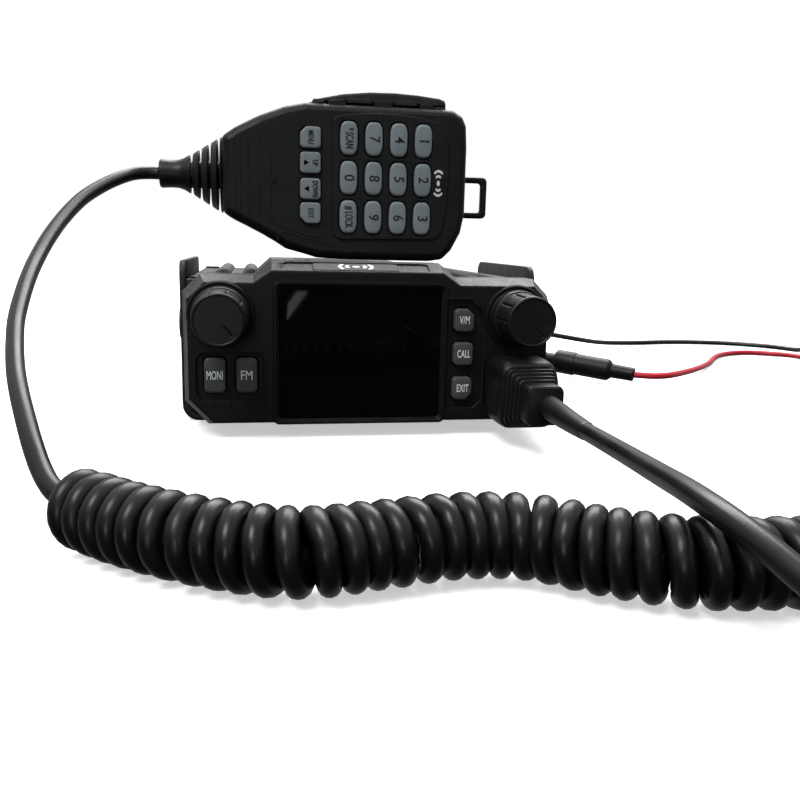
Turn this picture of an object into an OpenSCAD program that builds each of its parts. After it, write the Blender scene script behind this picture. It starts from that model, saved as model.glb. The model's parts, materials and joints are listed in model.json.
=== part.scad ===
// Mobile radio transceiver in its mounting bracket, with a hand microphone standing on it.
// X runs to the right, Y from the front panel to the rear, Z up.
// The origin is the middle of the bracket's underside, on the surface that the set stands on.

/* [Front panel] */
// Width across the front panel
panel_w = 98; // [96:0.5:99]
// Y of the front panel's face
front_y = -52; // [-54:1:-50]
// Height of the front panel's lower edge
panel_base = 3.4; // [3:0.1:4]
// Height of the side wings' front edge
wing_z = 40.6; // [39:0.1:41]
// Height of the raised middle's front edge
crown_z = 43.8; // [43:0.1:44.5]

/* [Display] */
// Width of the display window
window_w = 40.8; // [36:0.2:41]
// Height of the display window
window_h = 32.8; // [28:0.2:33]
// X of the display window's middle
window_x = -3.3; // [-4:0.1:-3]

/* [Controls] */
// Radius of a knob's face
knob_r = 6.4; // [5.5:0.1:6.6]
// How far a knob stands out from the panel
knob_out = 14.5; // [10:0.5:16]
// Height of both knobs' axes
knob_z = 32.4; // [32:0.1:32.6]
// X of the volume knob
volume_x = -39.2; // [-39.5:0.1:-39]
// X of the channel knob
channel_x = 38.3; // [38:0.1:38.6]
// Travel of a front key
front_key_travel = 0.8; // [0.4:0.1:1]

/* [Body] */
// Y of the rear wall's outer face
rear_y = 56; // [54:1:60]
// Height of the body's underside
body_base = 5; // [5:0.1:5.4]
// Height of the top cover's side decks
deck_z = 40.4; // [40:0.1:40.6]
// Height of the top cover's raised middle
spine_z = 44.6; // [44:0.1:45.4]

/* [Bracket] */
// Thickness of the bracket's steel
bracket_t = 1.6; // [1.5:0.1:1.8]
// Gap between the bracket's two arms
bracket_inside = 99.2; // [99:0.2:102]
// Length of the bracket along Y
bracket_len = 59; // [50:1:60]
// Height of the bracket's arms
bracket_h = 45; // [42:0.5:46]
// Y of the tilt axis
tilt_y = 1; // [0:0.5:2]
// Height of the tilt axis
tilt_z = 25; // [24:0.5:26]

/* [Handset] */
// Y of the handset's face
handset_y = -8; // [-9:0.5:-7]
// Thickness of the handset
handset_t = 26; // [25:0.5:27]
// Height of the handset's long axis
handset_z = 70.4; // [70.3:0.05:70.8]
// Travel of a handset key
handset_key_travel = 0.7; // [0.3:0.1:0.8]

/* [Leads] */
// Diameter of the microphone cord
cord_d = 3.8; // [3.6:0.1:4]
// Outer diameter of the curly part of the cord
curl_d = 13.6; // [13.2:0.1:13.8]
// Diameter of each supply wire
wire_d = 2.4; // [2.2:0.1:2.6]

/* [Hidden] */

$fn = 48;
bite = 0.5;                 // how far a cutting solid runs past the face that it opens

// Front panel, from its face backwards
bevel_y = front_y + 6;      // where the bevelled edge reaches its full size
panel_back = front_y + 14;  // the panel's rear rim
panel_wall = 3;             // thickness of the panel's face
inner_y = front_y + panel_wall;
crown_left = -26.4;         // X of the raised middle's left end at the face
crown_right = 18.2;         // X of its right end
slope_run = 4.6;            // width of the slopes that lead up to it
glass_t = 1.4;
recess_deep = 2;
window_z = panel_base + 19;
ledge = 1;                  // width of the ledge that the display window rests on

// Front keys: [X, Z, width, height]
left_keys = [[-40.9, 16.9], [-32.9, 16.9]];
left_key_size = [5.4, 9.1];
right_key_x = 24.1;
right_keys = [31.4, 22.4, 13.1];
right_key_w = 5.4;
right_key_h = 6.2;
key_gap = 0.3;              // clearance round a key in its opening
key_proud = 1;              // how far a key stands out of the panel
lip = 0.8;                  // the rim that keeps a key behind its opening

// Microphone jack
jack_x = 37.5;
jack_z = 14;
jack_w = 11;
jack_h = 7.4;
plug_x = 38;                // middle of the plug's moulding
plug_z = 13.5;

// Body
half_body = 48.6;
cover_t = 1.5;
spine_left = -25;
spine_right = 17;
fin_x = [32, 40.4];
fin_w = 5;
fin_top = 42.2;
wall = 3;
board_z = 15;

// Rear panel
fan_size = 28;
fan_x = -2;
fan_z = 23;
fan_bore = 12.6;
antenna_x = -33;
antenna_z = 23;
antenna_r = 7.9;
grommet_x = 36;
grommet_z = 17;
phone_x = 32;
phone_z = 32;
phone_r = 1.8;

// Controls
shaft_r = 3;
shaft_fit = 0.06;
bush_r = 4.2;
collar_r = 8.2;

// Bracket
arm_x = bracket_inside / 2;
arm_y0 = -28.5;
tilt_r = 2.5;
tilt_fit = 0.06;
guide_r = 20;               // distance from the tilt axis to the guide slot
corner_r = 4;
case_screw_x = [-45.9, 45.9];
case_screw_y = [-30, 48];
base_hole_x = 60;
base_hole_y = 30;
base_hole_r = 2.25;

// Handset
handset_back = handset_y + handset_t;
split_y = handset_y + 13;   // where the two shells meet
shell_wall = 2.2;
rim = 1.6;                  // how far the face is bevelled
key_cols = [-2.4, 5.2, 12.8, 20.4];
key_rows = [11.2, -0.3, -11.8];
oval_size = [5.3, 9.8];
side_col = -13.9;
side_rows = [11, 3.7, -3.9, -11];
side_size = [6.2, 6.2];
plate_proud = 0.6;
lever_x0 = -14.5;
lever_x1 = 28;
lever_pin_x = 26.4;
lever_pin_up = 18.2;
lever_pin_r = 1.2;
lever_fit = 0.06;
boot_y = handset_y + 13;
boot_end = -59;

// The handset's outline from the cord end to the hanger end: [X, height above the long axis]
upper_line = [
    [-40, 10.6], [-36, 13.4], [-31, 16], [-28.6, 17.2], [-25, 18.6], [-21.7, 19.9], [-15.3, 21.7], [-9, 23],
    [8, 24.2], [20, 24.2], [27, 23], [30, 21.6], [33, 19.5], [34.4, 16.6], [34.8, 10.4]
];
lower_line = [
    [-40, -11.4], [-36.5, -13.4], [-33.7, -14.7], [-28.3, -17.4], [-24, -19.8], [-20.7, -21.9], [-15.3, -23.3],
    [-11.9, -24.3], [-4, -24.7], [10, -24.8], [23.7, -24.8], [27.9, -24.2], [30.7, -21.4], [33.7, -15.7],
    [34.8, -10]
];
talk_line = 21.3;           // the upper side is cut down to this beside the talk lever

// Routes of the free cords, in mm
handset_tail = [
    [-59.4, 5, 70.4], [-62.4, 5, 70.4], [-66.6, 3, 69.8], [-71, -2.6, 67.6], [-75, -9, 64.6], [-78.4, -16, 61],
    [-81.2, -25, 56], [-83, -34, 51], [-84, -43, 46], [-84.2, -52, 41.4], [-83.8, -61, 36.8],
    [-83, -69.5, 32.4], [-81.2, -78.5, 28], [-79, -87, 24], [-76.4, -95, 20.6], [-73.6, -102.5, 17.2],
    [-70.8, -109.5, 13.8], [-68, -115.5, 10.6], [-64.8, -121, 8.4], [-60.4, -125.8, 7.2]
];
curl_line = [
    [-60.4, -125.8, 7.2], [-51, -135.6, 7.2], [-38.4, -145, 7.2], [-25, -151, 7.2], [-12, -149.2, 7.2],
    [0, -147, 7.2], [11, -148.6, 7.2], [21, -156, 7.2], [32, -161.4, 7.2], [45, -163, 7.2], [59, -163, 7.2],
    [73, -163.6, 7.2], [86, -166, 7.2], [98, -171, 7.2]
];
plug_tail = [
    [38.7, -80, 13.4], [38.3, -92, 13.2], [38, -104, 13.2], [37.4, -118, 13.6], [36, -132, 14.4],
    [33.8, -146, 15.6], [32, -157, 16.6], [31.2, -168, 16.6], [32, -177, 15.2], [34, -186, 12.6],
    [38, -196, 9.4], [44.6, -206, 6.2], [54, -214, 3.8], [66, -219, 2.4], [80, -220.4, 2.1],
    [93, -217, 2.3], [103, -209, 3.4], [109, -198, 5], [110, -187, 6.4], [106, -177.4, 7.1],
    [98, -171, 7.2]
];
black_route = [
    [34, 60, 18.5], [35, 70, 18.6], [41, 81, 18.2], [52, 89.6, 17.4], [66, 94.6, 16.2], [81, 98, 14.3],
    [96, 102, 11.9], [111, 108, 9.1], [126, 116.6, 6.2], [140, 127.6, 3.6], [154, 137, 2], [169, 143.4, 1.3],
    [185, 146.6, 1.3], [201, 147, 1.3], [216, 144, 1.3], [229, 137.4, 1.3], [239, 127.6, 1.3],
    [244.6, 115.6, 1.3], [244.6, 103, 1.4], [240.6, 91.6, 1.6], [236.6, 83, 1.8]
];
red_inner_route = [
    [38.5, 60, 15], [40, 67, 14.8], [46, 73, 13.8], [54.6, 73.4, 12.4], [62, 68, 10.8], [67.6, 59.6, 9.6],
    [73, 51.6, 8.6], [77, 46.4, 8], [81, 42, 7.6]
];
red_outer_route = [
    [109, 20, 4.5], [114.6, 17.6, 4.4], [120.6, 18.6, 4.3], [126.6, 22.6, 4.1], [132.6, 28, 3.8],
    [139, 34.4, 3.4], [146, 42, 2.9], [153.6, 51, 2.3], [161.6, 61, 1.7], [170, 71.6, 1.3], [178, 82.6, 1.3],
    [187, 93.4, 1.3], [197, 101, 1.3], [209, 104.6, 1.3], [219, 100.6, 1.3], [226, 92, 1.5],
    [231.4, 82, 1.8], [236, 73.6, 2]
];
fuse_from = red_inner_route[len(red_inner_route) - 1];
fuse_to = red_outer_route[0];
coil_x = 250;
coil_y = 78;
coil_mid_r = 14.4;
coil_w = 12.4;
coil_h = 9.9;

// ---- helpers ----

function arc(cx, cy, r, from, to, n = 6) =
    [for (i = [0 : n]) let (a = from + (to - from) * i / n) [cx + r * cos(a), cy + r * sin(a)]];

function round_rect(w, h, r, n = 5) = concat(
    arc(w / 2 - r, -h / 2 + r, r, -90, 0, n),
    arc(w / 2 - r, h / 2 - r, r, 0, 90, n),
    arc(-w / 2 + r, h / 2 - r, r, 90, 180, n),
    arc(-w / 2 + r, -h / 2 + r, r, 180, 270, n)
);

function unit(v) = v / norm(v);

// Direction of a route at its point i
function along(route, i) = unit(
    route[min(i + 1, len(route) - 1)] - route[max(i - 1, 0)]
);

// Ring of n points round a route's point i
function ring(route, i, r, n) =
    let (t = along(route, i), side = unit(cross([0, 0, 1], t)), rise = cross(side, t))
    [for (k = [0 : n - 1]) route[i] + r * (cos(360 * k / n) * side + sin(360 * k / n) * rise)];

// Faces of a skin over m rings of n points each, with both ends closed
function skin_faces(m, n) = concat(
    [[for (k = [n - 1 : -1 : 0]) k]],
    [for (i = [0 : m - 2]) for (k = [0 : n - 1])
        [i * n + k, i * n + (k + 1) % n, (i + 1) * n + (k + 1) % n]],
    [for (i = [0 : m - 2]) for (k = [0 : n - 1])
        [i * n + k, (i + 1) * n + (k + 1) % n, (i + 1) * n + k]],
    [[for (k = [0 : n - 1]) (m - 1) * n + k]]
);

// A round cord along a route
module tube(route, d, n = 8) {
    points = [for (i = [0 : len(route) - 1]) each ring(route, i, d / 2, n)];
    polyhedron(points = points, faces = skin_faces(len(route), n), convexity = 6);
}

// A flat shape in X and Z, thick from y0 to y1
module slab(y0, y1) {
    translate([0, y1, 0]) rotate([90, 0, 0]) linear_extrude(height = y1 - y0) children();
}

// A skin from outline a at y0 to outline b at y1
module loft(a, b, y0, y1) {
    points = concat([for (p = a) [p[0], y0, p[1]]], [for (p = b) [p[0], y1, p[1]]]);
    polyhedron(points = points, faces = skin_faces(2, len(a)), convexity = 4);
}

// A round rod along Y
module rod_y(x, z, r, y0, y1) {
    translate([x, y1, z]) rotate([90, 0, 0]) cylinder(r = r, h = y1 - y0);
}

// A round rod along X
module rod_x(y, z, r, x0, x1) {
    translate([x0, y, z]) rotate([0, 90, 0]) cylinder(r = r, h = x1 - x0);
}

module box(x0, x1, y0, y1, z0, z1) {
    translate([x0, y0, z0]) cube([x1 - x0, y1 - y0, z1 - z0]);
}

module rounded(x, z, w, h, r) {
    translate([x, z]) polygon(round_rect(w, h, r));
}

// ---- radio ----

// The panel's outline, grown by g all round
function panel_outline(g) = let (
    w = panel_w / 2 - 1.4 + g,
    low = panel_base + 0.9 - g,
    high = wing_z + g * 1.2,
    top = crown_z + g * 1.6
) [
    [-w + 6, low], [w - 6, low], [w, low + 6.4], [w, high - 4.4], [w - 4.4, high],
    [crown_right + slope_run, high], [crown_right, top], [crown_left, top],
    [crown_left - slope_run, high], [-w + 4.4, high], [-w, high - 4.4], [-w, low + 6.4]
];

module front_panel() {
    color([0.09, 0.09, 0.10]) difference() {
        union() {
            loft(panel_outline(0), panel_outline(1.4), front_y, bevel_y);
            slab(bevel_y - 0.01, panel_back) polygon(panel_outline(1.4));
            for (x = [volume_x, channel_x]) rod_y(x, knob_z, collar_r, front_y - 1.5, front_y + 1);
        }
        slab(inner_y, panel_back + bite) polygon(panel_outline(-1.8));
        slab(front_y - bite, front_y + recess_deep)
            rounded(window_x, window_z, window_w + 2 * ledge, window_h + 2 * ledge, 1);
        slab(front_y, inner_y + bite) rounded(window_x, window_z, window_w, window_h, 0.8);
        slab(front_y - bite, front_y + 0.8) rounded(-37, 16.4, 17, 12.2, 2);
        slab(front_y - bite, front_y + 0.8) rounded(24.2, 22.2, 10.4, 29, 2);
        for (p = left_keys)
            slab(front_y - bite, inner_y + bite)
                rounded(p[0], p[1], left_key_size[0] + 2 * key_gap, left_key_size[1] + 2 * key_gap, 1.6);
        for (z = right_keys)
            slab(front_y - bite, inner_y + bite)
                rounded(right_key_x, z, right_key_w + 2 * key_gap, right_key_h + 2 * key_gap, 1.5);
        for (x = [volume_x, channel_x]) {
            rod_y(x, knob_z, bush_r + 0.15, front_y - 2, inner_y + bite);
            rod_y(x, knob_z, collar_r - 0.7, front_y - 2, front_y + 0.4);
        }
        slab(front_y - bite, inner_y + bite) rounded(jack_x, jack_z, jack_w + 3, jack_h + 3.6, 1);
        box(crown_left + 3, crown_right - 3, front_y - bite, bevel_y - 1, crown_z - 0.9, crown_z + 4);
    }
    // blank badge in the tray above the display
    color([0.16, 0.16, 0.17]) box(-16, 6.4, front_y + 0.6, bevel_y - 1.2, crown_z - 1.2, crown_z - 0.3);
}

module display_window() {
    color([0.01, 0.01, 0.015]) slab(front_y + recess_deep - glass_t, front_y + recess_deep)
        rounded(window_x, window_z, window_w + 2 * ledge - 0.3, window_h + 2 * ledge - 0.3, 0.9);
}

module lcd_module() {
    color([0.2, 0.22, 0.24]) box(
        window_x - window_w / 2 + 1, window_x + window_w / 2 - 1, inner_y - 0.6, inner_y + 3,
        window_z - window_h / 2 + 1, window_z + window_h / 2 - 1
    );
}

module front_board() {
    back = inner_y + 6;
    color([0.05, 0.3, 0.12]) difference() {
        slab(back - 1.6, back) polygon(panel_outline(-2.4));
        box(jack_x - 7.6, panel_w / 2, back - 3, back + 1, panel_base, jack_z + 6);
        for (x = [volume_x, channel_x]) rod_y(x, knob_z, 1.2, back - 3, back + 1);
    }
    // one switch behind each front key
    color([0.7, 0.7, 0.7]) {
        for (p = left_keys) box(p[0] - 2, p[0] + 2, back - 3.6, back - 1.5, p[1] - 2, p[1] + 2);
        for (z = right_keys) box(right_key_x - 2, right_key_x + 2, back - 3.6, back - 1.5, z - 2, z + 2);
    }
}

// The volume control and the channel encoder
module rotary_controls() {
    color([0.55, 0.55, 0.57]) for (x = [volume_x, channel_x]) difference() {
        union() {
            rod_y(x, knob_z, 5.2, inner_y + 0.2, inner_y + 4.2);
            rod_y(x, knob_z, bush_r, front_y - 1.2, inner_y + 1);
        }
        rod_y(x, knob_z, shaft_r + shaft_fit, front_y - 2, inner_y + 3);
    }
}

module control_shaft(x) {
    color([0.75, 0.75, 0.77]) difference() {
        rod_y(x, knob_z, shaft_r, front_y - 10, inner_y + 2.7);
        box(x - 4, x + 4, front_y - 10 - bite, front_y - 4, knob_z + 1.8, knob_z + 4);
    }
}

module knob(x) {
    color([0.07, 0.07, 0.08]) difference() {
        union() {
            rod_y(x, knob_z, knob_r, front_y - knob_out, front_y - 2);
            rod_y(x, knob_z, knob_r + 0.8, front_y - 4.2, front_y - 2);
        }
        difference() {
            rod_y(x, knob_z, shaft_r + 0.02, front_y - 10, front_y - 1);
            box(x - 4, x + 4, front_y - 10 - bite, front_y - 4, knob_z + 1.82, knob_z + 4);
        }
        for (a = [0 : 36 : 324]) translate([x, 0, knob_z]) rotate([0, a, 0])
            box(-0.5, 0.5, front_y - knob_out + 2, front_y - 5.4, knob_r - 0.5, knob_r + 1);
    }
}

module volume_shaft() { control_shaft(volume_x); }
module channel_shaft() { control_shaft(channel_x); }
module volume_knob() { knob(volume_x); }
module channel_knob() { knob(channel_x); }

module front_key(x, z, w, h, r) {
    color([0.25, 0.26, 0.27]) {
        slab(front_y - key_proud, inner_y + 0.3) rounded(x, z, w, h, r);
        slab(inner_y + 0.2, inner_y + 0.2 + lip) rounded(x, z, w + 2 * lip, h + 2 * lip, r);
    }
}

module front_key_left() {
    front_key(left_keys[0][0], left_keys[0][1], left_key_size[0], left_key_size[1], 1.4);
}
module front_key_right() {
    front_key(left_keys[1][0], left_keys[1][1], left_key_size[0], left_key_size[1], 1.4);
}
module front_key_upper() { front_key(right_key_x, right_keys[0], right_key_w, right_key_h, 1.3); }
module front_key_middle() { front_key(right_key_x, right_keys[1], right_key_w, right_key_h, 1.3); }
module front_key_lower() { front_key(right_key_x, right_keys[2], right_key_w, right_key_h, 1.3); }

module mic_jack() {
    color([0.12, 0.12, 0.13]) difference() {
        slab(front_y + 0.4, front_y + 13.6) intersection() {
            polygon(panel_outline(-2));
            rounded(jack_x, jack_z, jack_w + 2.6, jack_h + 3.2, 0.8);
        }
        slab(front_y - bite, front_y + 12) rounded(jack_x, jack_z, jack_w, jack_h, 0.4);
    }
}

// The cast body below the cover, a box open at its top and front
module chassis() {
    color([0.16, 0.16, 0.17]) difference() {
        box(-half_body, half_body, panel_back + 0.2, rear_y, body_base, deck_z - cover_t - 0.1);
        box(
            -half_body + wall, half_body - wall, panel_back - bite, rear_y - wall,
            body_base + wall, deck_z + 1
        );
        for (side = [-1, 1]) for (z = [10, 14.5, 19, 31, 35.5])
            translate([side * half_body, 0, z]) cube([2.4, 3 * rear_y, 1.8], center = true);
        rod_y(fan_x, fan_z, fan_bore, rear_y - wall - bite, rear_y + bite);
        rod_y(antenna_x, antenna_z, antenna_r, rear_y - wall - bite, rear_y + bite);
        rod_y(grommet_x, grommet_z, 5.6, rear_y - wall - bite, rear_y + bite);
        rod_y(phone_x, phone_z, 3.6, rear_y - wall - bite, rear_y + bite);
        for (side = [-1, 1]) {
            rod_x(tilt_y, tilt_z, tilt_r, min(side * 40, side * 50), max(side * 40, side * 50));
            rod_x(
                tilt_y + guide_r, tilt_z, 2, min(side * 40, side * 50), max(side * 40, side * 50)
            );
        }
    }
}

// Top cover's outline in X and Z, shrunk by s
function cover_outline(s) = [
    [-half_body + s, deck_z - cover_t], [-half_body + s, deck_z - s],
    [spine_left - 4.6 - s * 0.6, deck_z - s], [spine_left + s * 0.4, spine_z - s],
    [spine_right - s * 0.4, spine_z - s], [spine_right + 4.6 + s * 0.6, deck_z - s],
    [half_body - s, deck_z - s], [half_body - s, deck_z - cover_t]
];

module top_cover() {
    color([0.15, 0.15, 0.16]) difference() {
        union() {
            slab(panel_back + 0.2, rear_y) polygon([for (i = [7 : -1 : 0]) cover_outline(0)[i]]);
            for (side = [-1, 1]) for (x = fin_x) {
                box(
                    side * x - fin_w / 2, side * x + fin_w / 2, panel_back + 4, rear_y - 3,
                    deck_z - 0.5, fin_top - fin_w / 2
                );
                rod_y(side * x, fin_top - fin_w / 2, fin_w / 2, panel_back + 4, rear_y - 3);
            }
        }
        slab(panel_back - bite, rear_y - wall) polygon([
            [spine_left - 1.6, deck_z - cover_t - bite], [spine_left + 1.4, spine_z - cover_t],
            [spine_right - 1.4, spine_z - cover_t], [spine_right + 1.6, deck_z - cover_t - bite]
        ]);
        for (y = [-6 : 4 : 30]) box(-17, 9, y + 22, y + 23.8, spine_z - 3, spine_z + 1);
        for (x = case_screw_x) for (y = case_screw_y)
            translate([x, y, deck_z - 3]) cylinder(r = 1.5, h = 5);
    }
}

module case_screws() {
    color([0.3, 0.3, 0.31]) for (x = case_screw_x) for (y = case_screw_y) translate([x, y, 0]) difference() {
        union() {
            translate([0, 0, deck_z + 0.02]) cylinder(r = 2.4, h = 0.6);
            translate([0, 0, deck_z - cover_t - 0.08]) cylinder(r = 1.4, h = cover_t + 0.3);
        }
        for (a = [0, 90]) rotate([0, 0, a]) translate([0, 0, deck_z + 0.8])
            cube([2.6, 0.6, 1], center = true);
    }
}

module main_board() {
    color([0.04, 0.28, 0.12]) box(-44, 44, panel_back + 2, 41, board_z, board_z + 1.6);
    // screening cans, power transistor and coils standing on the board
    color([0.7, 0.7, 0.68]) {
        box(-38, -12, -28, 6, board_z + 1.5, board_z + 7);
        box(-4, 18, -30, -6, board_z + 1.5, board_z + 6);
        box(22, 38, 8, 30, board_z + 1.5, board_z + 5);
        for (x = [24, 32, 40]) translate([x, -20, board_z + 1.5]) cylinder(r = 3, h = 9);
    }
}

module speaker() {
    color([0.2, 0.2, 0.2]) translate([-4, 6, 0]) {
        translate([0, 0, 36]) cylinder(r = 17.5, h = 2);
        translate([0, 0, 31]) cylinder(r1 = 9, r2 = 15.5, h = 5.2);
        translate([0, 0, 26.5]) cylinder(r = 8, h = 5);
    }
}

module antenna_socket() {
    color([0.75, 0.75, 0.77]) difference() {
        union() {
            box(antenna_x - 10, antenna_x + 10, rear_y + 0.02, rear_y + 2, antenna_z - 10, antenna_z + 10);
            rod_y(antenna_x, antenna_z, antenna_r, rear_y + 1, rear_y + 15);
            rod_y(antenna_x, antenna_z, antenna_r - 0.3, rear_y - 8, rear_y + 1);
        }
        rod_y(antenna_x, antenna_z, 5.6, rear_y + 5, rear_y + 16);
        rod_y(antenna_x, antenna_z, 2, rear_y + 4, rear_y + 6);
    }
}

module dc_grommet() {
    color([0.06, 0.06, 0.06]) {
        rod_y(grommet_x, grommet_z, 5.4, rear_y - wall - 1, rear_y + 0.5);
        rod_y(grommet_x, grommet_z, 7, rear_y + 0.1, rear_y + 2);
        rod_y(grommet_x, grommet_z, 5, rear_y + 1.5, rear_y + 3.9);
    }
}

module speaker_jack() {
    color([0.6, 0.6, 0.62]) difference() {
        union() {
            rod_y(phone_x, phone_z, 3.4, rear_y - 6, rear_y + 0.4);
            rod_y(phone_x, phone_z, 4.2, rear_y + 0.1, rear_y + 1.6);
            box(
                phone_x - 4.5, phone_x + 4.5, rear_y - 14, rear_y - wall - 0.3,
                phone_z - 4.5, phone_z + 4.5
            );
        }
        rod_y(phone_x, phone_z, phone_r, rear_y - 12, rear_y + 3);
    }
}

module fan_frame() {
    y1 = rear_y - wall - 0.2;
    color([0.08, 0.08, 0.09]) {
        difference() {
            box(
                fan_x - fan_size / 2, fan_x + fan_size / 2, y1 - 8, y1,
                fan_z - fan_size / 2, fan_z + fan_size / 2
            );
            rod_y(fan_x, fan_z, fan_bore, y1 - 9, y1 + 1);
        }
        for (a = [45 : 90 : 315]) translate([fan_x, 0, fan_z]) rotate([0, a, 0])
            box(-0.8, 0.8, y1 - 8, y1 - 6.8, 3, fan_bore + 0.4);
        difference() {
            rod_y(fan_x, fan_z, 5, y1 - 8, y1 - 6.8);
            rod_y(fan_x, fan_z, 1.06, y1 - 9, y1 - 6);
        }
    }
}

module fan_rotor() {
    y1 = rear_y - wall - 0.8;
    color([0.1, 0.1, 0.11]) {
        rod_y(fan_x, fan_z, 5.6, y1 - 5.4, y1);
        rod_y(fan_x, fan_z, 1, y1 - 7.2, y1 - 5);
        for (a = [0 : 360 / 7 : 359]) translate([fan_x, (2 * y1 - 5.4) / 2, fan_z]) rotate([0, a, 0])
            translate([0, 0, 8.6]) rotate([0, 0, 38]) cube([0.8, 5.8, 7], center = true);
    }
}

module bracket_screws() {
    color([0.1, 0.1, 0.1]) for (side = [0, 1]) mirror([side, 0, 0]) {
        rod_x(tilt_y, tilt_z, tilt_r, 43, arm_x + bracket_t + 0.5);
        rod_x(tilt_y + guide_r, tilt_z, 2, 43, arm_x + bracket_t + 0.5);
        difference() {
            rod_x(tilt_y, tilt_z, 5, arm_x + bracket_t + 0.3, arm_x + bracket_t + 2.6);
            translate([arm_x + bracket_t + 1.2, tilt_y, tilt_z]) rotate([0, 90, 0])
                cylinder(r = 2, h = 3, $fn = 6);
        }
        difference() {
            rod_x(tilt_y + guide_r, tilt_z, 4, arm_x + bracket_t + 0.3, arm_x + bracket_t + 2.3);
            translate([arm_x + bracket_t + 1.1, tilt_y + guide_r, tilt_z]) rotate([0, 90, 0])
                cylinder(r = 1.7, h = 3, $fn = 6);
        }
    }
}

// Outline of the bracket's steel, grown inwards by s
function bracket_u(s) = let (w = arm_x + bracket_t - s, r = 4.6 - s) concat(
    [[-w, bracket_h]],
    arc(-w + r, s + r, r, 180, 270, 6),
    arc(w - r, s + r, r, 270, 360, 6),
    [[w, bracket_h]]
);

module bracket() {
    guide_a = 14;
    slot = concat(
        arc(0, 0, guide_r + 2.3, -guide_a, guide_a, 8),
        arc(0, 0, guide_r - 2.3, guide_a, -guide_a, 8)
    );
    color([0.13, 0.13, 0.14]) difference() {
        intersection() {
            slab(arm_y0, arm_y0 + bracket_len)
                polygon(concat(bracket_u(0), [for (i = [15 : -1 : 0]) bracket_u(bracket_t)[i]]));
            // the arms' upper corners are rounded
            translate([-arm_x - 4, 0, 0]) rotate([90, 0, 90]) linear_extrude(height = 2 * arm_x + 8)
                polygon(concat(
                    [[arm_y0 - 1, -1], [arm_y0 + bracket_len + 1, -1]],
                    arc(arm_y0 + bracket_len - corner_r, bracket_h - corner_r, corner_r, 0, 90, 8),
                    arc(arm_y0 + corner_r, bracket_h - corner_r, corner_r, 90, 180, 8)
                ));
        }
        rod_x(tilt_y, tilt_z, tilt_r + tilt_fit, -arm_x - 4, arm_x + 4);
        translate([-arm_x - 4, tilt_y, tilt_z]) rotate([90, 0, 90]) linear_extrude(height = 2 * arm_x + 8)
            polygon(slot);
        for (x = [-1, 1]) for (y = [-1, 1])
            translate([x * base_hole_x / 2, y * base_hole_y / 2, -1]) cylinder(r = base_hole_r, h = 4);
    }
}

// ---- handset ----

// The handset's outline, shrunk by s; the upper side is lowered beside the talk lever
function handset_outline(s) = concat(
    [for (p = lower_line) [shrink_x(p[0], s), handset_z + p[1] + s]],
    [for (i = [len(upper_line) - 1 : -1 : 0])
        [shrink_x(upper_line[i][0], s), handset_z + min(upper_line[i][1], talk_line) - s]]
);
function shrink_x(x, s) = x + (x < 0 ? s * abs(x) / 40 : -s * x / 34);

module oval(x, z, size, gap) {
    rounded(x, handset_z + z, size[0] + 2 * gap, size[1] + 2 * gap, min(size[0], size[1]) * 0.42);
}

// Lug for the talk lever's pin, from y0 to y1
module lever_lug(y0, y1) {
    box(24.2, 28.8, y0, y1, handset_z + 15.6, handset_z + 20.8);
}

module lever_bore() {
    rod_y(lever_pin_x, handset_z + lever_pin_up, lever_pin_r + lever_fit, split_y - 12, split_y + 9.9);
}

// Space that the talk lever and the cord boot take up in both shells
module shell_cuts() {
    box(lever_x0 - 0.5, lever_x1 + 0.5, split_y - 10.1, split_y + 8.1, handset_z + 13, handset_z + 26);
    rod_x(split_y, handset_z, 4.4, -44, -34);
    lever_bore();
}

module handset_front() {
    color([0.13, 0.14, 0.15]) difference() {
        union() {
            difference() {
                union() {
                    loft(handset_outline(rim + 0.8), handset_outline(0), handset_y, handset_y + rim);
                    slab(handset_y + rim - 0.01, split_y) polygon(handset_outline(0));
                    slab(handset_y - plate_proud, handset_y + 0.5)
                        rounded(10.6, handset_z - 0.3, 35.4, 36.4, 3.5);
                }
                slab(handset_y + 2.2, split_y + bite) polygon(handset_outline(shell_wall));
            }
            lever_lug(handset_y + 1, split_y - 10.1);
        }
        for (x = key_cols) for (z = key_rows) slab(handset_y - 2, handset_y + 3) oval(x, z, oval_size, key_gap);
        for (z = side_rows) slab(handset_y - 2, handset_y + 3)
            rounded(side_col, handset_z + z, side_size[0] + 2 * key_gap, side_size[1] + 2 * key_gap, 1.2);
        rod_y(-24.4, handset_z - 2.4, 0.7, handset_y - 1, handset_y + 3);
        shell_cuts();
    }
}

module handset_rear() {
    color([0.12, 0.12, 0.13]) difference() {
        union() {
            difference() {
                union() {
                    slab(split_y + 0.02, handset_back - 5) polygon(handset_outline(0));
                    loft(handset_outline(0), handset_outline(4.5), handset_back - 5.01, handset_back);
                }
                slab(split_y - bite, handset_back - 5) polygon(handset_outline(shell_wall));
            }
            lever_lug(split_y + 8.1, handset_back - 4);
        }
        shell_cuts();
    }
}

module talk_lever() {
    color([0.10, 0.10, 0.11]) {
        // the pad under the thumb, with its arched back
        slab(split_y - 9.7, split_y + 7.7) translate([0, handset_z]) polygon([
            [lever_x0, 21.7], [lever_x1, 21.7], [lever_x1, 23.4], [26, 24.6], [19, 25.3], [12, 25.6], [4, 25.4],
            [-4, 24.5], [-11, 22.9], [lever_x0, 22]
        ]);
        box(24.6, lever_x1, split_y - 9.7, split_y + 7.7, handset_z + 16.2, handset_z + 21.8);
        rod_y(lever_pin_x, handset_z + lever_pin_up, lever_pin_r, split_y - 11.6, split_y + 9.6);
        // finger that reaches the switch
        box(-7, -3, split_y - 3, split_y - 0.6, handset_z + 16.6, handset_z + 21.8);
    }
}

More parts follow.
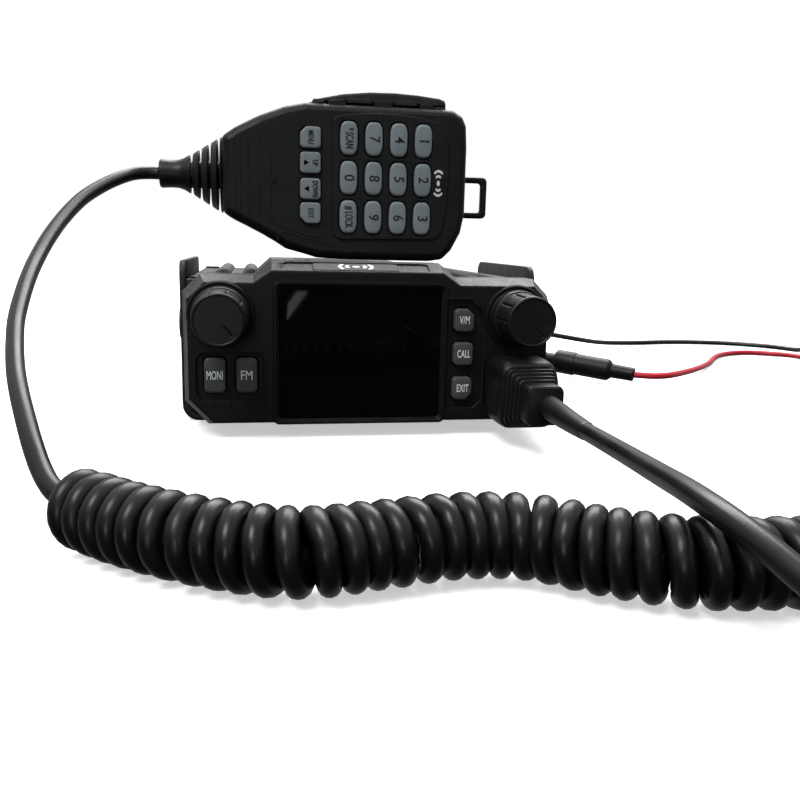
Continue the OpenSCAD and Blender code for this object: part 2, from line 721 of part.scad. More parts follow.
module handset_board() {
    y0 = handset_y + 7;
    color([0.05, 0.3, 0.12]) {
        box(-18, 26, y0, y0 + 1.6, handset_z - 18, handset_z + 14.6);
        for (x = key_cols) for (z = key_rows)
            box(x - 1.5, x + 1.5, y0 - 2, y0 + 0.2, handset_z + z - 1.5, handset_z + z + 1.5);
        for (z = side_rows)
            box(side_col - 1.5, side_col + 1.5, y0 - 2, y0 + 0.2, handset_z + z - 1.5, handset_z + z + 1.5);
        // switch under the talk lever
        box(-8, -2, y0 + 1.5, y0 + 6, handset_z + 8.6, handset_z + 14.6);
    }
}

module mic_capsule() {
    color([0.7, 0.7, 0.72]) rod_y(-24.4, handset_z - 2.4, 4.8, handset_y + 2.3, handset_y + 8);
}

module handset_key(x, z, size, r) {
    color([0.42, 0.45, 0.48]) {
        slab(handset_y - plate_proud - 0.9, handset_y + 2.4) rounded(x, handset_z + z, size[0], size[1], r);
        slab(handset_y + 2.3, handset_y + 3.1) rounded(x, handset_z + z, size[0] + 0.9, size[1] + 0.9, r);
    }
}

module number_key(column, row) {
    handset_key(key_cols[column], key_rows[row], oval_size, oval_size[0] * 0.42);
}

module side_key(row) { handset_key(side_col, side_rows[row], side_size, 1.1); }

module key_star() { number_key(0, 0); }
module key_0() { number_key(0, 1); }
module key_hash() { number_key(0, 2); }
module key_7() { number_key(1, 0); }
module key_8() { number_key(1, 1); }
module key_9() { number_key(1, 2); }
module key_4() { number_key(2, 0); }
module key_5() { number_key(2, 1); }
module key_6() { number_key(2, 2); }
module key_1() { number_key(3, 0); }
module key_2() { number_key(3, 1); }
module key_3() { number_key(3, 2); }
module key_menu() { side_key(0); }
module key_up() { side_key(1); }
module key_down() { side_key(2); }
module key_exit() { side_key(3); }

module hanger_loop() {
    color([0.08, 0.08, 0.08]) difference() {
        slab(split_y + 5, split_y + 7.6) rounded(39.5, handset_z - 4, 13.4, 13.4, 1.2);
        slab(split_y + 4, split_y + 9) rounded(40.4, handset_z - 4, 7.6, 9.6, 0.8);
        box(29, 34.82, split_y + 4, split_y + 9, handset_z - 12, handset_z + 5);
    }
}

// Tapered boot, ribbed by grooves, with its collar
module cord_boot() {
    color([0.08, 0.08, 0.08]) translate([0, boot_y, handset_z]) rotate([0, -90, 0]) difference() {
        union() {
            translate([0, 0, 40.1]) cylinder(r1 = 11.6, r2 = 4.6, h = 11.4);
            translate([0, 0, 35]) cylinder(r = 4.3, h = 6);
            translate([0, 0, 50]) cylinder(r = 4.3, h = -boot_end - 50);
        }
        for (h = [42.4 : 2.8 : 50.8]) for (a = [0, 180]) rotate([0, 0, a])
            translate([-12, 3.6, h - 0.5]) cube([24, 9, 1]);
    }
}

// ---- microphone cord ----

module cord_handset_tail() { color([0.09, 0.09, 0.1]) tube(handset_tail, cord_d); }
module cord_curl() { color([0.09, 0.09, 0.1]) tube(curl_line, curl_d, 12); }
module cord_plug_tail() { color([0.09, 0.09, 0.1]) tube(plug_tail, cord_d); }

module mic_plug() {
    color([0.1, 0.1, 0.11]) {
        slab(front_y - 1, front_y + 10) rounded(jack_x, jack_z, jack_w - 0.6, jack_h - 0.6, 0.3);
        slab(front_y - 13, front_y - 0.3) rounded(plug_x, plug_z + 0.2, 15, 17.8, 2.4);
        for (i = [0 : 3]) slab(front_y - 15.2 - 2.2 * i, front_y - 13.9 - 2.2 * i)
            rounded(plug_x, plug_z, 13.4 - i, 14.6 - 1.2 * i, 1.4);
        slab(front_y - 23, front_y - 12) rounded(plug_x, plug_z, 9, 9.2, 1.2);
        slab(front_y - 28, front_y - 22.5) rounded(plug_x - 0.2, plug_z, 9.4, 9.8, 1.2);
    }
}

// ---- supply lead ----

module wire_black() { color([0.05, 0.05, 0.05]) tube(black_route, wire_d); }
module wire_red_inner() { color([0.75, 0.05, 0.1]) tube(red_inner_route, wire_d); }
module wire_red_outer() { color([0.75, 0.05, 0.1]) tube(red_outer_route, wire_d); }

module fuse_holder() {
    span = fuse_to - fuse_from;
    length = norm(span);
    color([0.07, 0.07, 0.07]) translate(fuse_from)
        rotate([0, acos(span[2] / length), atan2(span[1], span[0])]) {
            translate([0, 0, 0.1]) cylinder(r = 2.7, h = 5.2);
            translate([0, 0, 5]) cylinder(r = 4.5, h = 8);
            translate([0, 0, 12.8]) cylinder(r = 4.1, h = 13.6);
            translate([0, 0, 26.2]) cylinder(r = 2.7, h = length - 26.3);
        }
}

module lead_coil() {
    color([0.4, 0.05, 0.08]) translate([coil_x, coil_y, 0.05]) rotate_extrude()
        translate([coil_mid_r - coil_w / 2, 0]) square([coil_w, coil_h]);
}

// Two crimped ring terminals on the ends of the wires, beside the coil
module ring_terminals() {
    for (x = [246, 256]) translate([x, 34, 0]) {
        color([0.75, 0.74, 0.7]) {
            difference() {
                translate([0, 0, 0.6]) cylinder(r = 4, h = 0.8);
                cylinder(r = 2.1, h = 2);
            }
            box(-1.6, 1.6, 3.2, 6, 0.6, 1.4);
            rod_y(0, 1.7, 1.6, 5.6, 11);
        }
        color([0.3, 0.04, 0.06]) rod_y(0, 1.7, wire_d / 2, 10.9, 27);
    }
}

front_panel();
display_window();
lcd_module();
chassis();
top_cover();
main_board();
front_board();
speaker();
rotary_controls();
mic_jack();
antenna_socket();
dc_grommet();
speaker_jack();
fan_frame();
fan_rotor();
case_screws();
bracket_screws();
bracket();
volume_knob();
volume_shaft();
channel_knob();
channel_shaft();
front_key_left();
front_key_right();
front_key_upper();
front_key_middle();
front_key_lower();
handset_front();
handset_rear();
handset_board();
mic_capsule();
hanger_loop();
cord_boot();
talk_lever();
key_1();
key_2();
key_3();
key_4();
key_5();
key_6();
key_7();
key_8();
key_9();
key_star();
key_0();
key_hash();
key_menu();
key_up();
key_down();
key_exit();
cord_handset_tail();
cord_curl();
cord_plug_tail();
mic_plug();
wire_black();
wire_red_inner();
fuse_holder();
wire_red_outer();
lead_coil();
ring_terminals();
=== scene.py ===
import json
import math
import bmesh
import bpy
from mathutils import Matrix, Vector


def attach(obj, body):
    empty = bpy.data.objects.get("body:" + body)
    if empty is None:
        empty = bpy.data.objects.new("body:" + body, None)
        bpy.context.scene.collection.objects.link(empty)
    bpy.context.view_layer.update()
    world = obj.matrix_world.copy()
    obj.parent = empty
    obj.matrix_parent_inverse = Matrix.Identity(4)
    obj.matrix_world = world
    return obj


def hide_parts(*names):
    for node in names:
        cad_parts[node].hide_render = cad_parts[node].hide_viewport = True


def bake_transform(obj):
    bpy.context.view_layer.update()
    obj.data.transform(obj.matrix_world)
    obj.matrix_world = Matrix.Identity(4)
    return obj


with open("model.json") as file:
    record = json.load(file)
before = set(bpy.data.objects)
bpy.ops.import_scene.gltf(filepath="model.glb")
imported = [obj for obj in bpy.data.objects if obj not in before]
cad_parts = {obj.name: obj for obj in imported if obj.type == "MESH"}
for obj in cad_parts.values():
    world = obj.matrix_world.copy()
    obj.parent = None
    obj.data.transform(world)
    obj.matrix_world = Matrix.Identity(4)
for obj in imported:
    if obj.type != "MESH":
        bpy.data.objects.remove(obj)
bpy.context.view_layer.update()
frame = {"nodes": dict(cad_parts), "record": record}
MM = 0.001
# The radio's front faces -Y. Outlines are lists of (x, z), and shape helpers take mm, as their headings say.

# ---------------------------------------------------------------- camera

YAW, PITCH, ROLL = math.radians(10.06), math.radians(10.97), math.radians(1.34)
EYE = Vector((-30.3, -264.0, 51.7)) * MM


def make_camera():
    forward = Vector((math.sin(YAW) * math.cos(PITCH), math.cos(YAW) * math.cos(PITCH), -math.sin(PITCH)))
    right = Vector((math.cos(YAW), -math.sin(YAW), 0))
    up = right.cross(forward)
    x_axis = right * math.cos(ROLL) + up * math.sin(ROLL)
    y_axis = up * math.cos(ROLL) - right * math.sin(ROLL)
    data = bpy.data.cameras.new("camera")
    data.lens, data.sensor_width, data.clip_start = 36.9, 36, 0.005
    camera = bpy.data.objects.new("camera", data)
    camera.matrix_world = Matrix((
        (x_axis[0], y_axis[0], -forward[0], EYE[0]),
        (x_axis[1], y_axis[1], -forward[1], EYE[1]),
        (x_axis[2], y_axis[2], -forward[2], EYE[2]),
        (0, 0, 0, 1)))
    bpy.context.scene.collection.objects.link(camera)
    bpy.context.scene.camera = camera


make_camera()

# ---------------------------------------------------------------- materials

NOISE_LOW, NOISE_HIGH = 0.3, 0.7        # nearly all of a noise texture's values lie between these
WORN = (0.3, 0.3, 0.3)

def nodes_of(name):
    mat = bpy.data.materials.new(name)
    mat.use_nodes = True
    tree = mat.node_tree
    return mat, tree, tree.nodes["Principled BSDF"]


def add(tree, kind, **values):
    node = tree.nodes.new(kind)
    for key, value in values.items():
        if hasattr(node, key):
            setattr(node, key, value)
        else:
            node.inputs[key.replace("_", " ")].default_value = value
    return node


def noise(tree, size_mm, detail=3.0, rough=0.55):
    node = add(tree, "ShaderNodeTexNoise", Scale=1 / (size_mm * MM), Detail=detail, Roughness=rough)
    tree.links.new(add(tree, "ShaderNodeTexCoord").outputs["Object"], node.inputs["Vector"])
    return node.outputs["Fac"]


def ramp(tree, source, low, high, a, b):
    node = add(tree, "ShaderNodeMapRange")
    for key, value in zip(("From Min", "From Max", "To Min", "To Max"), (low, high, a, b)):
        node.inputs[key].default_value = value
    tree.links.new(source, node.inputs["Value"])
    return node.outputs["Result"]


def mix(tree, factor, a, b):
    node = add(tree, "ShaderNodeMix", data_type="RGBA")
    tree.links.new(factor, node.inputs[0])
    for slot, value in ((6, a), (7, b)):
        if isinstance(value, tuple):
            node.inputs[slot].default_value = (*value, 1)
        else:
            tree.links.new(value, node.inputs[slot])
    return node.outputs[2]


def scaled(color, k):
    return tuple(min(1.0, c * k) for c in color)


def finish(name, color, rough, metal=0.0, spec=0.3, grain_mm=0.25, grain=0.25, mottle=0.25,
           mottle_mm=7.0, wear=0.0, speckle=0.0):
    """A mottled, grained surface: colour drifts over mottle_mm, roughness with it, and the grain is a bump."""
    mat, tree, bsdf = nodes_of(name)
    drift = noise(tree, mottle_mm)
    tint = mix(tree, ramp(tree, drift, NOISE_LOW, NOISE_HIGH, 0, 1),
               scaled(color, 1 - mottle), scaled(color, 1 + mottle))
    if speckle:
        dots = ramp(tree, noise(tree, grain_mm * 1.3, 1.0), 0.58, 0.66, 0, speckle)
        tint = mix(tree, dots, tint, scaled(color, 8 * speckle))
    if wear:
        edge = add(tree, "ShaderNodeNewGeometry").outputs["Pointiness"]
        tint = mix(tree, ramp(tree, edge, 0.52, 0.62, 0, wear), tint, WORN)
    tree.links.new(tint, bsdf.inputs["Base Color"])
    tree.links.new(ramp(tree, drift, NOISE_LOW, NOISE_HIGH, rough - 0.06, rough + 0.08),
                   bsdf.inputs["Roughness"])
    bump = add(tree, "ShaderNodeBump", Strength=grain, Distance=grain_mm * MM * 0.35)
    tree.links.new(noise(tree, grain_mm, 2.0, 0.6), bump.inputs["Height"])
    tree.links.new(bump.outputs["Normal"], bsdf.inputs["Normal"])
    bsdf.inputs["Metallic"].default_value = metal
    bsdf.inputs["Specular IOR Level"].default_value = spec
    return mat


PANEL = finish("panel", (0.005, 0.005, 0.0054), 0.5, spec=0.2, grain_mm=0.22, grain=0.3)
BEVEL = finish("bevel", (0.012, 0.012, 0.0125), 0.46, metal=0.2, spec=0.5, grain_mm=0.36, grain=1.0,
               speckle=1.0)
KNOB = finish("knob", (0.0065, 0.007, 0.0072), 0.4, spec=0.26, grain_mm=0.12, grain=0.1)
CAST = finish("cast", (0.016, 0.016, 0.017), 0.55, spec=0.35, grain_mm=0.35, grain=0.6, speckle=0.15)
STEEL_PAINT = finish("bracket_paint", (0.012, 0.012, 0.013), 0.5, spec=0.35, grain_mm=0.4, grain=0.35)
SHELL = finish("shell", (0.0075, 0.0078, 0.0085), 0.48, spec=0.2, grain_mm=0.3, grain=0.35)
SOFT = finish("soft", (0.006, 0.0062, 0.0066), 0.42, spec=0.26, grain_mm=0.5, grain=0.15)
JACKET = finish("jacket", (0.0035, 0.004, 0.0045), 0.34, spec=0.32, grain_mm=0.35, grain=0.1, mottle_mm=12)
HANDSET_KEY = finish("handset_key", (0.17, 0.2, 0.215), 0.45, spec=0.4, grain_mm=0.2, grain=0.12, mottle=0.08)
FRONT_KEY = finish("front_key", (0.058, 0.063, 0.067), 0.5, spec=0.3, grain_mm=0.2, grain=0.12, mottle=0.1)
LEGEND = finish("legend", (0.75, 0.78, 0.8), 0.6, grain=0.05, mottle=0.05)
INK = finish("ink", (0.010, 0.011, 0.013), 0.6, grain=0.05, mottle=0.05)
RED_WIRE = finish("red_wire", (0.56, 0.010, 0.03), 0.34, spec=0.5, grain_mm=0.4, grain=0.08, mottle=0.1)
BLACK_WIRE = finish("black_wire", (0.010, 0.010, 0.011), 0.36, spec=0.45, grain_mm=0.4, grain=0.08)
SCREW = finish("screw", (0.03, 0.03, 0.032), 0.35, metal=0.9, grain_mm=0.1, grain=0.15, wear=0.4)
STEEL = finish("steel", (0.5, 0.5, 0.52), 0.28, metal=1.0, grain_mm=0.12, grain=0.15, mottle=0.1)
NICKEL = finish("nickel", (0.66, 0.64, 0.6), 0.2, metal=1.0, grain_mm=0.2, grain=0.05, mottle=0.08)
BOARD = finish("board", (0.015, 0.10, 0.04), 0.45, spec=0.5, grain_mm=0.6, grain=0.2, mottle_mm=2.0)
CONE = finish("cone", (0.02, 0.02, 0.02), 0.8, grain_mm=0.6, grain=0.6)
LCD = finish("lcd", (0.02, 0.022, 0.026), 0.3, grain=0.05)
LEVER = finish("lever", (0.013, 0.013, 0.0145), 0.5, spec=0.3, grain_mm=0.3, grain=0.5)
BADGE = finish("badge", (0.02, 0.02, 0.021), 0.5, spec=0.4, grain_mm=0.2, grain=0.6, speckle=0.6)
SILVER = finish("silver", (0.78, 0.78, 0.8), 0.35, metal=0.3, grain_mm=0.2, grain=0.1, mottle=0.05)


def window_glass():
    mat, tree, bsdf = nodes_of("window_glass")
    smear = noise(tree, 9.0, 2.0)
    tree.links.new(ramp(tree, smear, NOISE_LOW, NOISE_HIGH, 0.02, 0.05), bsdf.inputs["Roughness"])
    tree.links.new(mix(tree, ramp(tree, smear, 0.4, NOISE_HIGH, 0, 1),
                       (0.0012, 0.0012, 0.0014), (0.002, 0.002, 0.0022)), bsdf.inputs["Base Color"])
    bsdf.inputs["Specular IOR Level"].default_value = 0.12
    return mat


GLASS = window_glass()

SLOT_MATERIAL = {
    "panel_plastic": PANEL, "knob_plastic": KNOB, "window_glass": GLASS, "lcd_body": LCD,
    "cast_black": CAST, "bracket_paint": STEEL_PAINT, "front_key": FRONT_KEY,
    "handset_plastic": SHELL, "handset_key": HANDSET_KEY, "soft_black": SOFT,
    "cord_jacket": JACKET, "wire_black": BLACK_WIRE, "wire_red": RED_WIRE, "screw_black": SCREW,
    "steel": STEEL, "nickel": NICKEL, "circuit_board": BOARD, "speaker_black": CONE}
SLOT_OF = {part["node"]: part["material_slot"] for part in frame["record"]["subparts"]}
BODY_OF = {n: body for body, names in frame["record"]["behaviour"]["bodies"].items() for n in names}
for part_name, part_slot in SLOT_OF.items():
    cad = frame["nodes"][part_name]
    cad.data.materials.clear()
    cad.data.materials.append(SLOT_MATERIAL[part_slot])

# ---------------------------------------------------------------- mesh helpers, in metres


def piece(name, mesh, mat, body=None, slot=None, replaced=(), bevel=0.0, angle=35, smooth=True):
    """Makes an object of a bmesh. Edges over angle degrees stay sharp, or are rounded by bevel mm."""
    bmesh.ops.recalc_face_normals(mesh, faces=mesh.faces)
    data = bpy.data.meshes.new(name)
    mesh.to_mesh(data)
    mesh.free()
    obj = bpy.data.objects.new(name, data)
    bpy.context.scene.collection.objects.link(obj)
    data.materials.append(mat)
    if bevel:
        mod = obj.modifiers.new("bevel", "BEVEL")
        mod.width, mod.segments, mod.limit_method = bevel * MM, 2, "ANGLE"
        mod.angle_limit = math.radians(angle)
        mod.harden_normals = True
    if smooth:
        data.shade_smooth()
    if smooth and not bevel:
        data.set_sharp_from_angle(angle=math.radians(angle))
        flat_faces(obj)
    if body:
        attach(obj, body)
    if replaced:
        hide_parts(*replaced)
    return obj


def flat_faces(obj):
    """Shades big flat faces flat, and leaves the roundings smooth."""
    mod = obj.modifiers.new("normals", "WEIGHTED_NORMAL")
    mod.keep_sharp, mod.weight = True, 100


def stand_in(name, node, mesh, mat, **shape):
    """A piece that replaces a CAD node, on the node's body."""
    return piece(name, mesh, mat, BODY_OF[node], SLOT_OF[node], (node,), **shape)


def clamp(value):
    return max(0.0, min(1.0, value))


def ease(t):
    return t * t * (3 - 2 * t)


def angles(n):
    return [2 * math.pi * k / n for k in range(n)]


def smooth_path(points, step):
    """Catmull-Rom through points, resampled every step."""
    fine = []
    for i in range(len(points) - 1):
        p0, p1 = points[max(i - 1, 0)], points[i]
        p2, p3 = points[i + 1], points[min(i + 2, len(points) - 1)]
        for k in range(12):
            t = k / 12
            fine.append(0.5 * ((2 * p1) + (p2 - p0) * t + (2 * p0 - 5 * p1 + 4 * p2 - p3) * t * t
                               + (3 * p1 - p0 - 3 * p2 + p3) * t ** 3))
    fine.append(points[-1].copy())
    lengths = [0.0]
    for a, b in zip(fine, fine[1:]):
        lengths.append(lengths[-1] + (b - a).length)
    count = max(2, round(lengths[-1] / step))
    out, j = [], 0
    for i in range(count + 1):
        want = lengths[-1] * i / count
        while j < len(fine) - 2 and lengths[j + 1] < want:
            j += 1
        span = lengths[j + 1] - lengths[j] or 1
        out.append(fine[j].lerp(fine[j + 1], min(1, (want - lengths[j]) / span)))
    return out


def frames(points):
    """A side and a rise vector for each point, carried along without twist."""
    out, side = [], None
    for i, p in enumerate(points):
        t = (points[min(i + 1, len(points) - 1)] - points[max(i - 1, 0)]).normalized()
        if side is None:
            side = Vector((0, 0, 1)).cross(t)
            side = side.normalized() if side.length > 0.1 else Vector((1, 0, 0))
        side = (side - t * side.dot(t)).normalized()
        out.append((side, t.cross(side)))
    return out


def skinned(rings, close_first=True, close_last=True):
    """A skin over rings of points, each ring with as many points."""
    bm = bmesh.new()
    made = [[bm.verts.new(p) for p in ring] for ring in rings]
    n = len(made[0])
    for a, b in zip(made, made[1:]):
        for k in range(n):
            bm.faces.new((a[k], a[(k + 1) % n], b[(k + 1) % n], b[k]))
    if close_first:
        bm.faces.new(made[0][::-1])
    if close_last:
        bm.faces.new(made[-1])
    return bm


def tube(points, radii, sides=16):
    """A round skin along points, with a radius for each."""
    return skinned([[p + radius * (math.cos(a) * side + math.sin(a) * rise) for a in angles(sides)]
                    for p, radius, (side, rise) in zip(points, radii, frames(points))])


def length_of(points):
    return sum((b - a).length for a, b in zip(points, points[1:]))


def route(text):
    """Points written in mm as "x,y,z x,y,z"."""
    return [Vector(float(v) for v in p.split(",")) * MM for p in text.split()]


# ---------------------------------------------------------------- shape helpers, in mm


def rounded(points, radius, steps=5):
    """A closed outline with every corner rounded."""
    out, n = [], len(points)
    for i in range(n):
        a, b, c = (Vector(points[k % n]) for k in (i - 1, i, i + 1))
        u, v = (a - b).normalized(), (c - b).normalized()
        half = math.acos(max(-1, min(1, u.dot(v)))) / 2
        if half > math.radians(88):
            out.append(tuple(b))
            continue
        reach = min(radius / math.tan(half), 0.48 * min((a - b).length, (c - b).length))
        centre = b + (u + v).normalized() * (reach / math.cos(half))
        first, last = b + u * reach - centre, b + v * reach - centre
        turn = first.angle_signed(last)
        for k in range(steps + 1):
            spin = Matrix.Rotation(-turn * k / steps, 2)
            out.append(tuple(centre + spin @ first))
    return out


def rect(x, z, w, h, r=0.0, cut=()):
    """A rectangle about x, z; cut gives {corner: size} chamfers, corners named by their signs."""
    points = []
    for sx, sz in ((1, -1), (1, 1), (-1, 1), (-1, -1)):
        size = dict(cut).get((sx, sz), 0)
        corner = (x + sx * w / 2, z + sz * h / 2)
        if size:
            along_x = (corner[0] - sx * size, corner[1])
            along_z = (corner[0], corner[1] - sz * size)
            points += [along_z, along_x] if sx == sz else [along_x, along_z]
        else:
            points.append(corner)
    return rounded(points, r) if r else points


def circle(x, z, r, n=48):
    return [(x + r * math.cos(a), z + r * math.sin(a)) for a in angles(n)]


def oval(x, z, w, h):
    """A superellipse: the outline of a barrel-shaped key."""
    power = 3.2

    def reach(v):
        return math.copysign(abs(v) ** (2 / power), v) / 2

    return [(x + reach(math.cos(a)) * w, z + reach(math.sin(a)) * h) for a in angles(56)]


def taken(data):
    """A bmesh with a mesh's contents, in its place."""
    bm = bmesh.new()
    bm.from_mesh(data)
    bpy.data.meshes.remove(data)
    return bm


def merged(*parts):
    whole = bmesh.new()
    for part in parts:
        data = bpy.data.meshes.new("part")
        part.to_mesh(data)
        part.free()
        whole.from_mesh(data)
        bpy.data.meshes.remove(data)
    return whole


def filled(curve):
    """A bmesh of a curve or text, in its place."""
    holder = bpy.data.objects.new("holder", curve)
    bpy.context.scene.collection.objects.link(holder)
    data = bpy.data.meshes.new_from_object(holder.evaluated_get(bpy.context.evaluated_depsgraph_get()))
    bpy.data.objects.remove(holder)
    bpy.data.curves.remove(curve)
    return taken(data)


def plate(loops, y0, y1, edge=0.3, steps=2):
    """A flat part in X and Z from y0 to y1. Loops inside the first are holes, and all edges are rounded."""
    curve = bpy.data.curves.new("plate", "CURVE")
    curve.dimensions, curve.fill_mode = "2D", "BOTH"
    curve.extrude = (y1 - y0) / 2 - edge
    curve.bevel_depth, curve.bevel_resolution, curve.offset = edge, steps, -edge
    for loop in loops:
        spline = curve.splines.new("POLY")
        spline.points.add(len(loop) - 1)
        for point, (x, z) in zip(spline.points, loop):
            point.co = (x, z, 0, 1)
        spline.use_cyclic_u = True
    bm = filled(curve)
    middle = (y0 + y1) / 2
    for v in bm.verts:
        x, z, d = v.co
        v.co = Vector((x, middle - d, z)) * MM
    bmesh.ops.remove_doubles(bm, verts=bm.verts, dist=2e-6)
    return bm


def rings_mesh(rings, close_first=True, close_last=True):
    return skinned([[Vector(p) * MM for p in ring] for ring in rings], close_first, close_last)


def cap(loop, y_back, y_front, edge, crown):
    """A key cap: an upright wall, an edge rounded by edge and a face that bulges by crown to y_front."""
    xs, zs = [p[0] for p in loop], [p[1] for p in loop]
    cx, cz = (min(xs) + max(xs)) / 2, (min(zs) + max(zs)) / 2
    half = min(max(xs) - min(xs), max(zs) - min(zs)) / 2

    def at(inset, y):
        k = 1 - inset / half
        return [(cx + (x - cx) * k, y, cz + (z - cz) * k) for x, z in loop]

    steps = 5
    rim = y_front + crown
    rings = [at(0, y_back), at(0, rim + edge)]
    for k in range(1, steps + 1):
        a = math.pi / 2 * k / steps
        rings.append(at(edge * (1 - math.cos(a)), rim + edge * (1 - math.sin(a))))
    for k in range(1, steps + 1):
        f = 1 - k / (steps + 0.6)
        rings.append(at(half - (half - edge) * f, rim - crown * (1 - f * f)))
    return rings_mesh(rings)


def turned(x, z, profile, sides=64, notch=lambda a, y, r: 0):
    """Turns (y, radius) points about a line along Y; notch(angle, y, radius) is taken off the radius."""
    rings = []
    for y, r in profile:
        radii = [(a, r - notch(a, y, r)) for a in angles(sides)]
        rings.append([(x + q * math.cos(a), y, z + q * math.sin(a)) for a, q in radii])
    return rings_mesh(rings)


def softened(name, node, mat, width):
    """A CAD node's shape with its sharp edges rounded by width mm."""
    bm = bmesh.new()
    bm.from_mesh(frame["nodes"][node].data)
    bmesh.ops.remove_doubles(bm, verts=bm.verts, dist=1e-6)
    bmesh.ops.dissolve_limit(bm, angle_limit=math.radians(1), verts=bm.verts, edges=bm.edges)
    return stand_in(name, node, bm, mat, bevel=width, angle=30)


# ---------------------------------------------------------------- keys and marks, in mm


def lettering(node, text, x, z, y, size, mat, turn, squeeze):
    """Raised generic lettering on a key's face, which looks to -Y; turn is in degrees, clockwise."""
    curve = bpy.data.curves.new("lettering", "FONT")
    curve.body, curve.size = text, size
    curve.align_x, curve.align_y = "CENTER", "CENTER"
    curve.extrude, curve.space_line, curve.offset = 0.05, 0.8, 0.03
    bm = filled(curve)
    c, s = math.cos(math.radians(turn)), math.sin(math.radians(turn))
    for v in bm.verts:
        u, w, d = v.co
        u *= squeeze
        v.co = Vector((x + u * c + w * s, y - d, z - u * s + w * c)) * MM
    piece(node + "_legend", bm, mat, BODY_OF[node], SLOT_OF[node], smooth=False)


def key_cap(node, outline, y_back, y_front, edge, crown, mat):
    stand_in(node + "_cap", node, cap(outline, y_back, y_front, edge, crown), mat, angle=50)


def add_face(bm, points):
    bm.faces.new([bm.verts.new(Vector(p) * MM) for p in points])


def wave_mark(name, centre, body, slot):
    """A generic sign for radio waves: a dot between two pairs of arcs; centre gives a point for (u, v)."""
    dot, half_stroke, reach, steps = 0.44, 0.2, math.radians(38), 10

    def at(radius, angle):
        return centre(radius * math.cos(angle), radius * math.sin(angle))

    bm = bmesh.new()
    add_face(bm, [at(dot, a) for a in angles(20)])
    for side in (0, math.pi):
        for r in (1.12, 1.92):
            for k in range(steps):
                a, b = (side + reach * (2 * j / steps - 1) for j in (k, k + 1))
                add_face(bm, [at(r - half_stroke, a), at(r + half_stroke, a),
                              at(r + half_stroke, b), at(r - half_stroke, b)])
    bmesh.ops.remove_doubles(bm, verts=bm.verts, dist=1e-6)
    bmesh.ops.solidify(bm, geom=bm.faces[:], thickness=0.06 * MM)
    piece(name, bm, SILVER, body, slot, smooth=False)


# ---------------------------------------------------------------- front panel

FRONT, BEVEL_BACK, PANEL_BACK = -52.0, -46.0, -38.0
GLASS_FRONT = FRONT + 0.6
WINDOW = (-3.3, 22.4, 40.8, 32.8)
LEFT_TRAY, RIGHT_TRAY = (-37, 16.4, 17, 12.2), (24.2, 22.2, 10.4, 29)
KNOBS = {"volume_knob": (-39.2, 32.4), "channel_knob": (38.3, 32.4)}
FRONT_KEYS = {
    "front_key_left": (-40.9, 16.9, 5.4, 9.1, ()), "front_key_right": (-32.9, 16.9, 5.4, 9.1, ()),
    "front_key_upper": (24.1, 31.4, 5.4, 6.2, {(1, 1): 1.7}), "front_key_middle": (24.1, 22.4, 5.4, 6.2, ()),
    "front_key_lower": (24.1, 13.1, 5.4, 6.2, {(1, -1): 1.7})}


def panel_outline(g):
    w, low, high, top = 47.6 + g, 4.3 - g, 40.6 + 1.2 * g, 43.8 + 1.6 * g
    return [(-w + 6, low), (w - 6, low), (w, low + 6.4), (w, high - 4.4), (w - 4.4, high), (22.8, high),
            (18.2, top), (-26.4, top), (-31, high), (-w + 4.4, high), (-w, high - 4.4), (-w, low + 6.4)]


def key_hole(name):
    x, z, w, h, cut = FRONT_KEYS[name]
    return rect(x, z, w + 0.6, h + 0.6, 1.5, cut)


def raised(outline, height, edge=0.1):
    """A small moulding that stands height mm out of the panel's face."""
    return plate([outline], FRONT - height, FRONT + 0.2, edge)


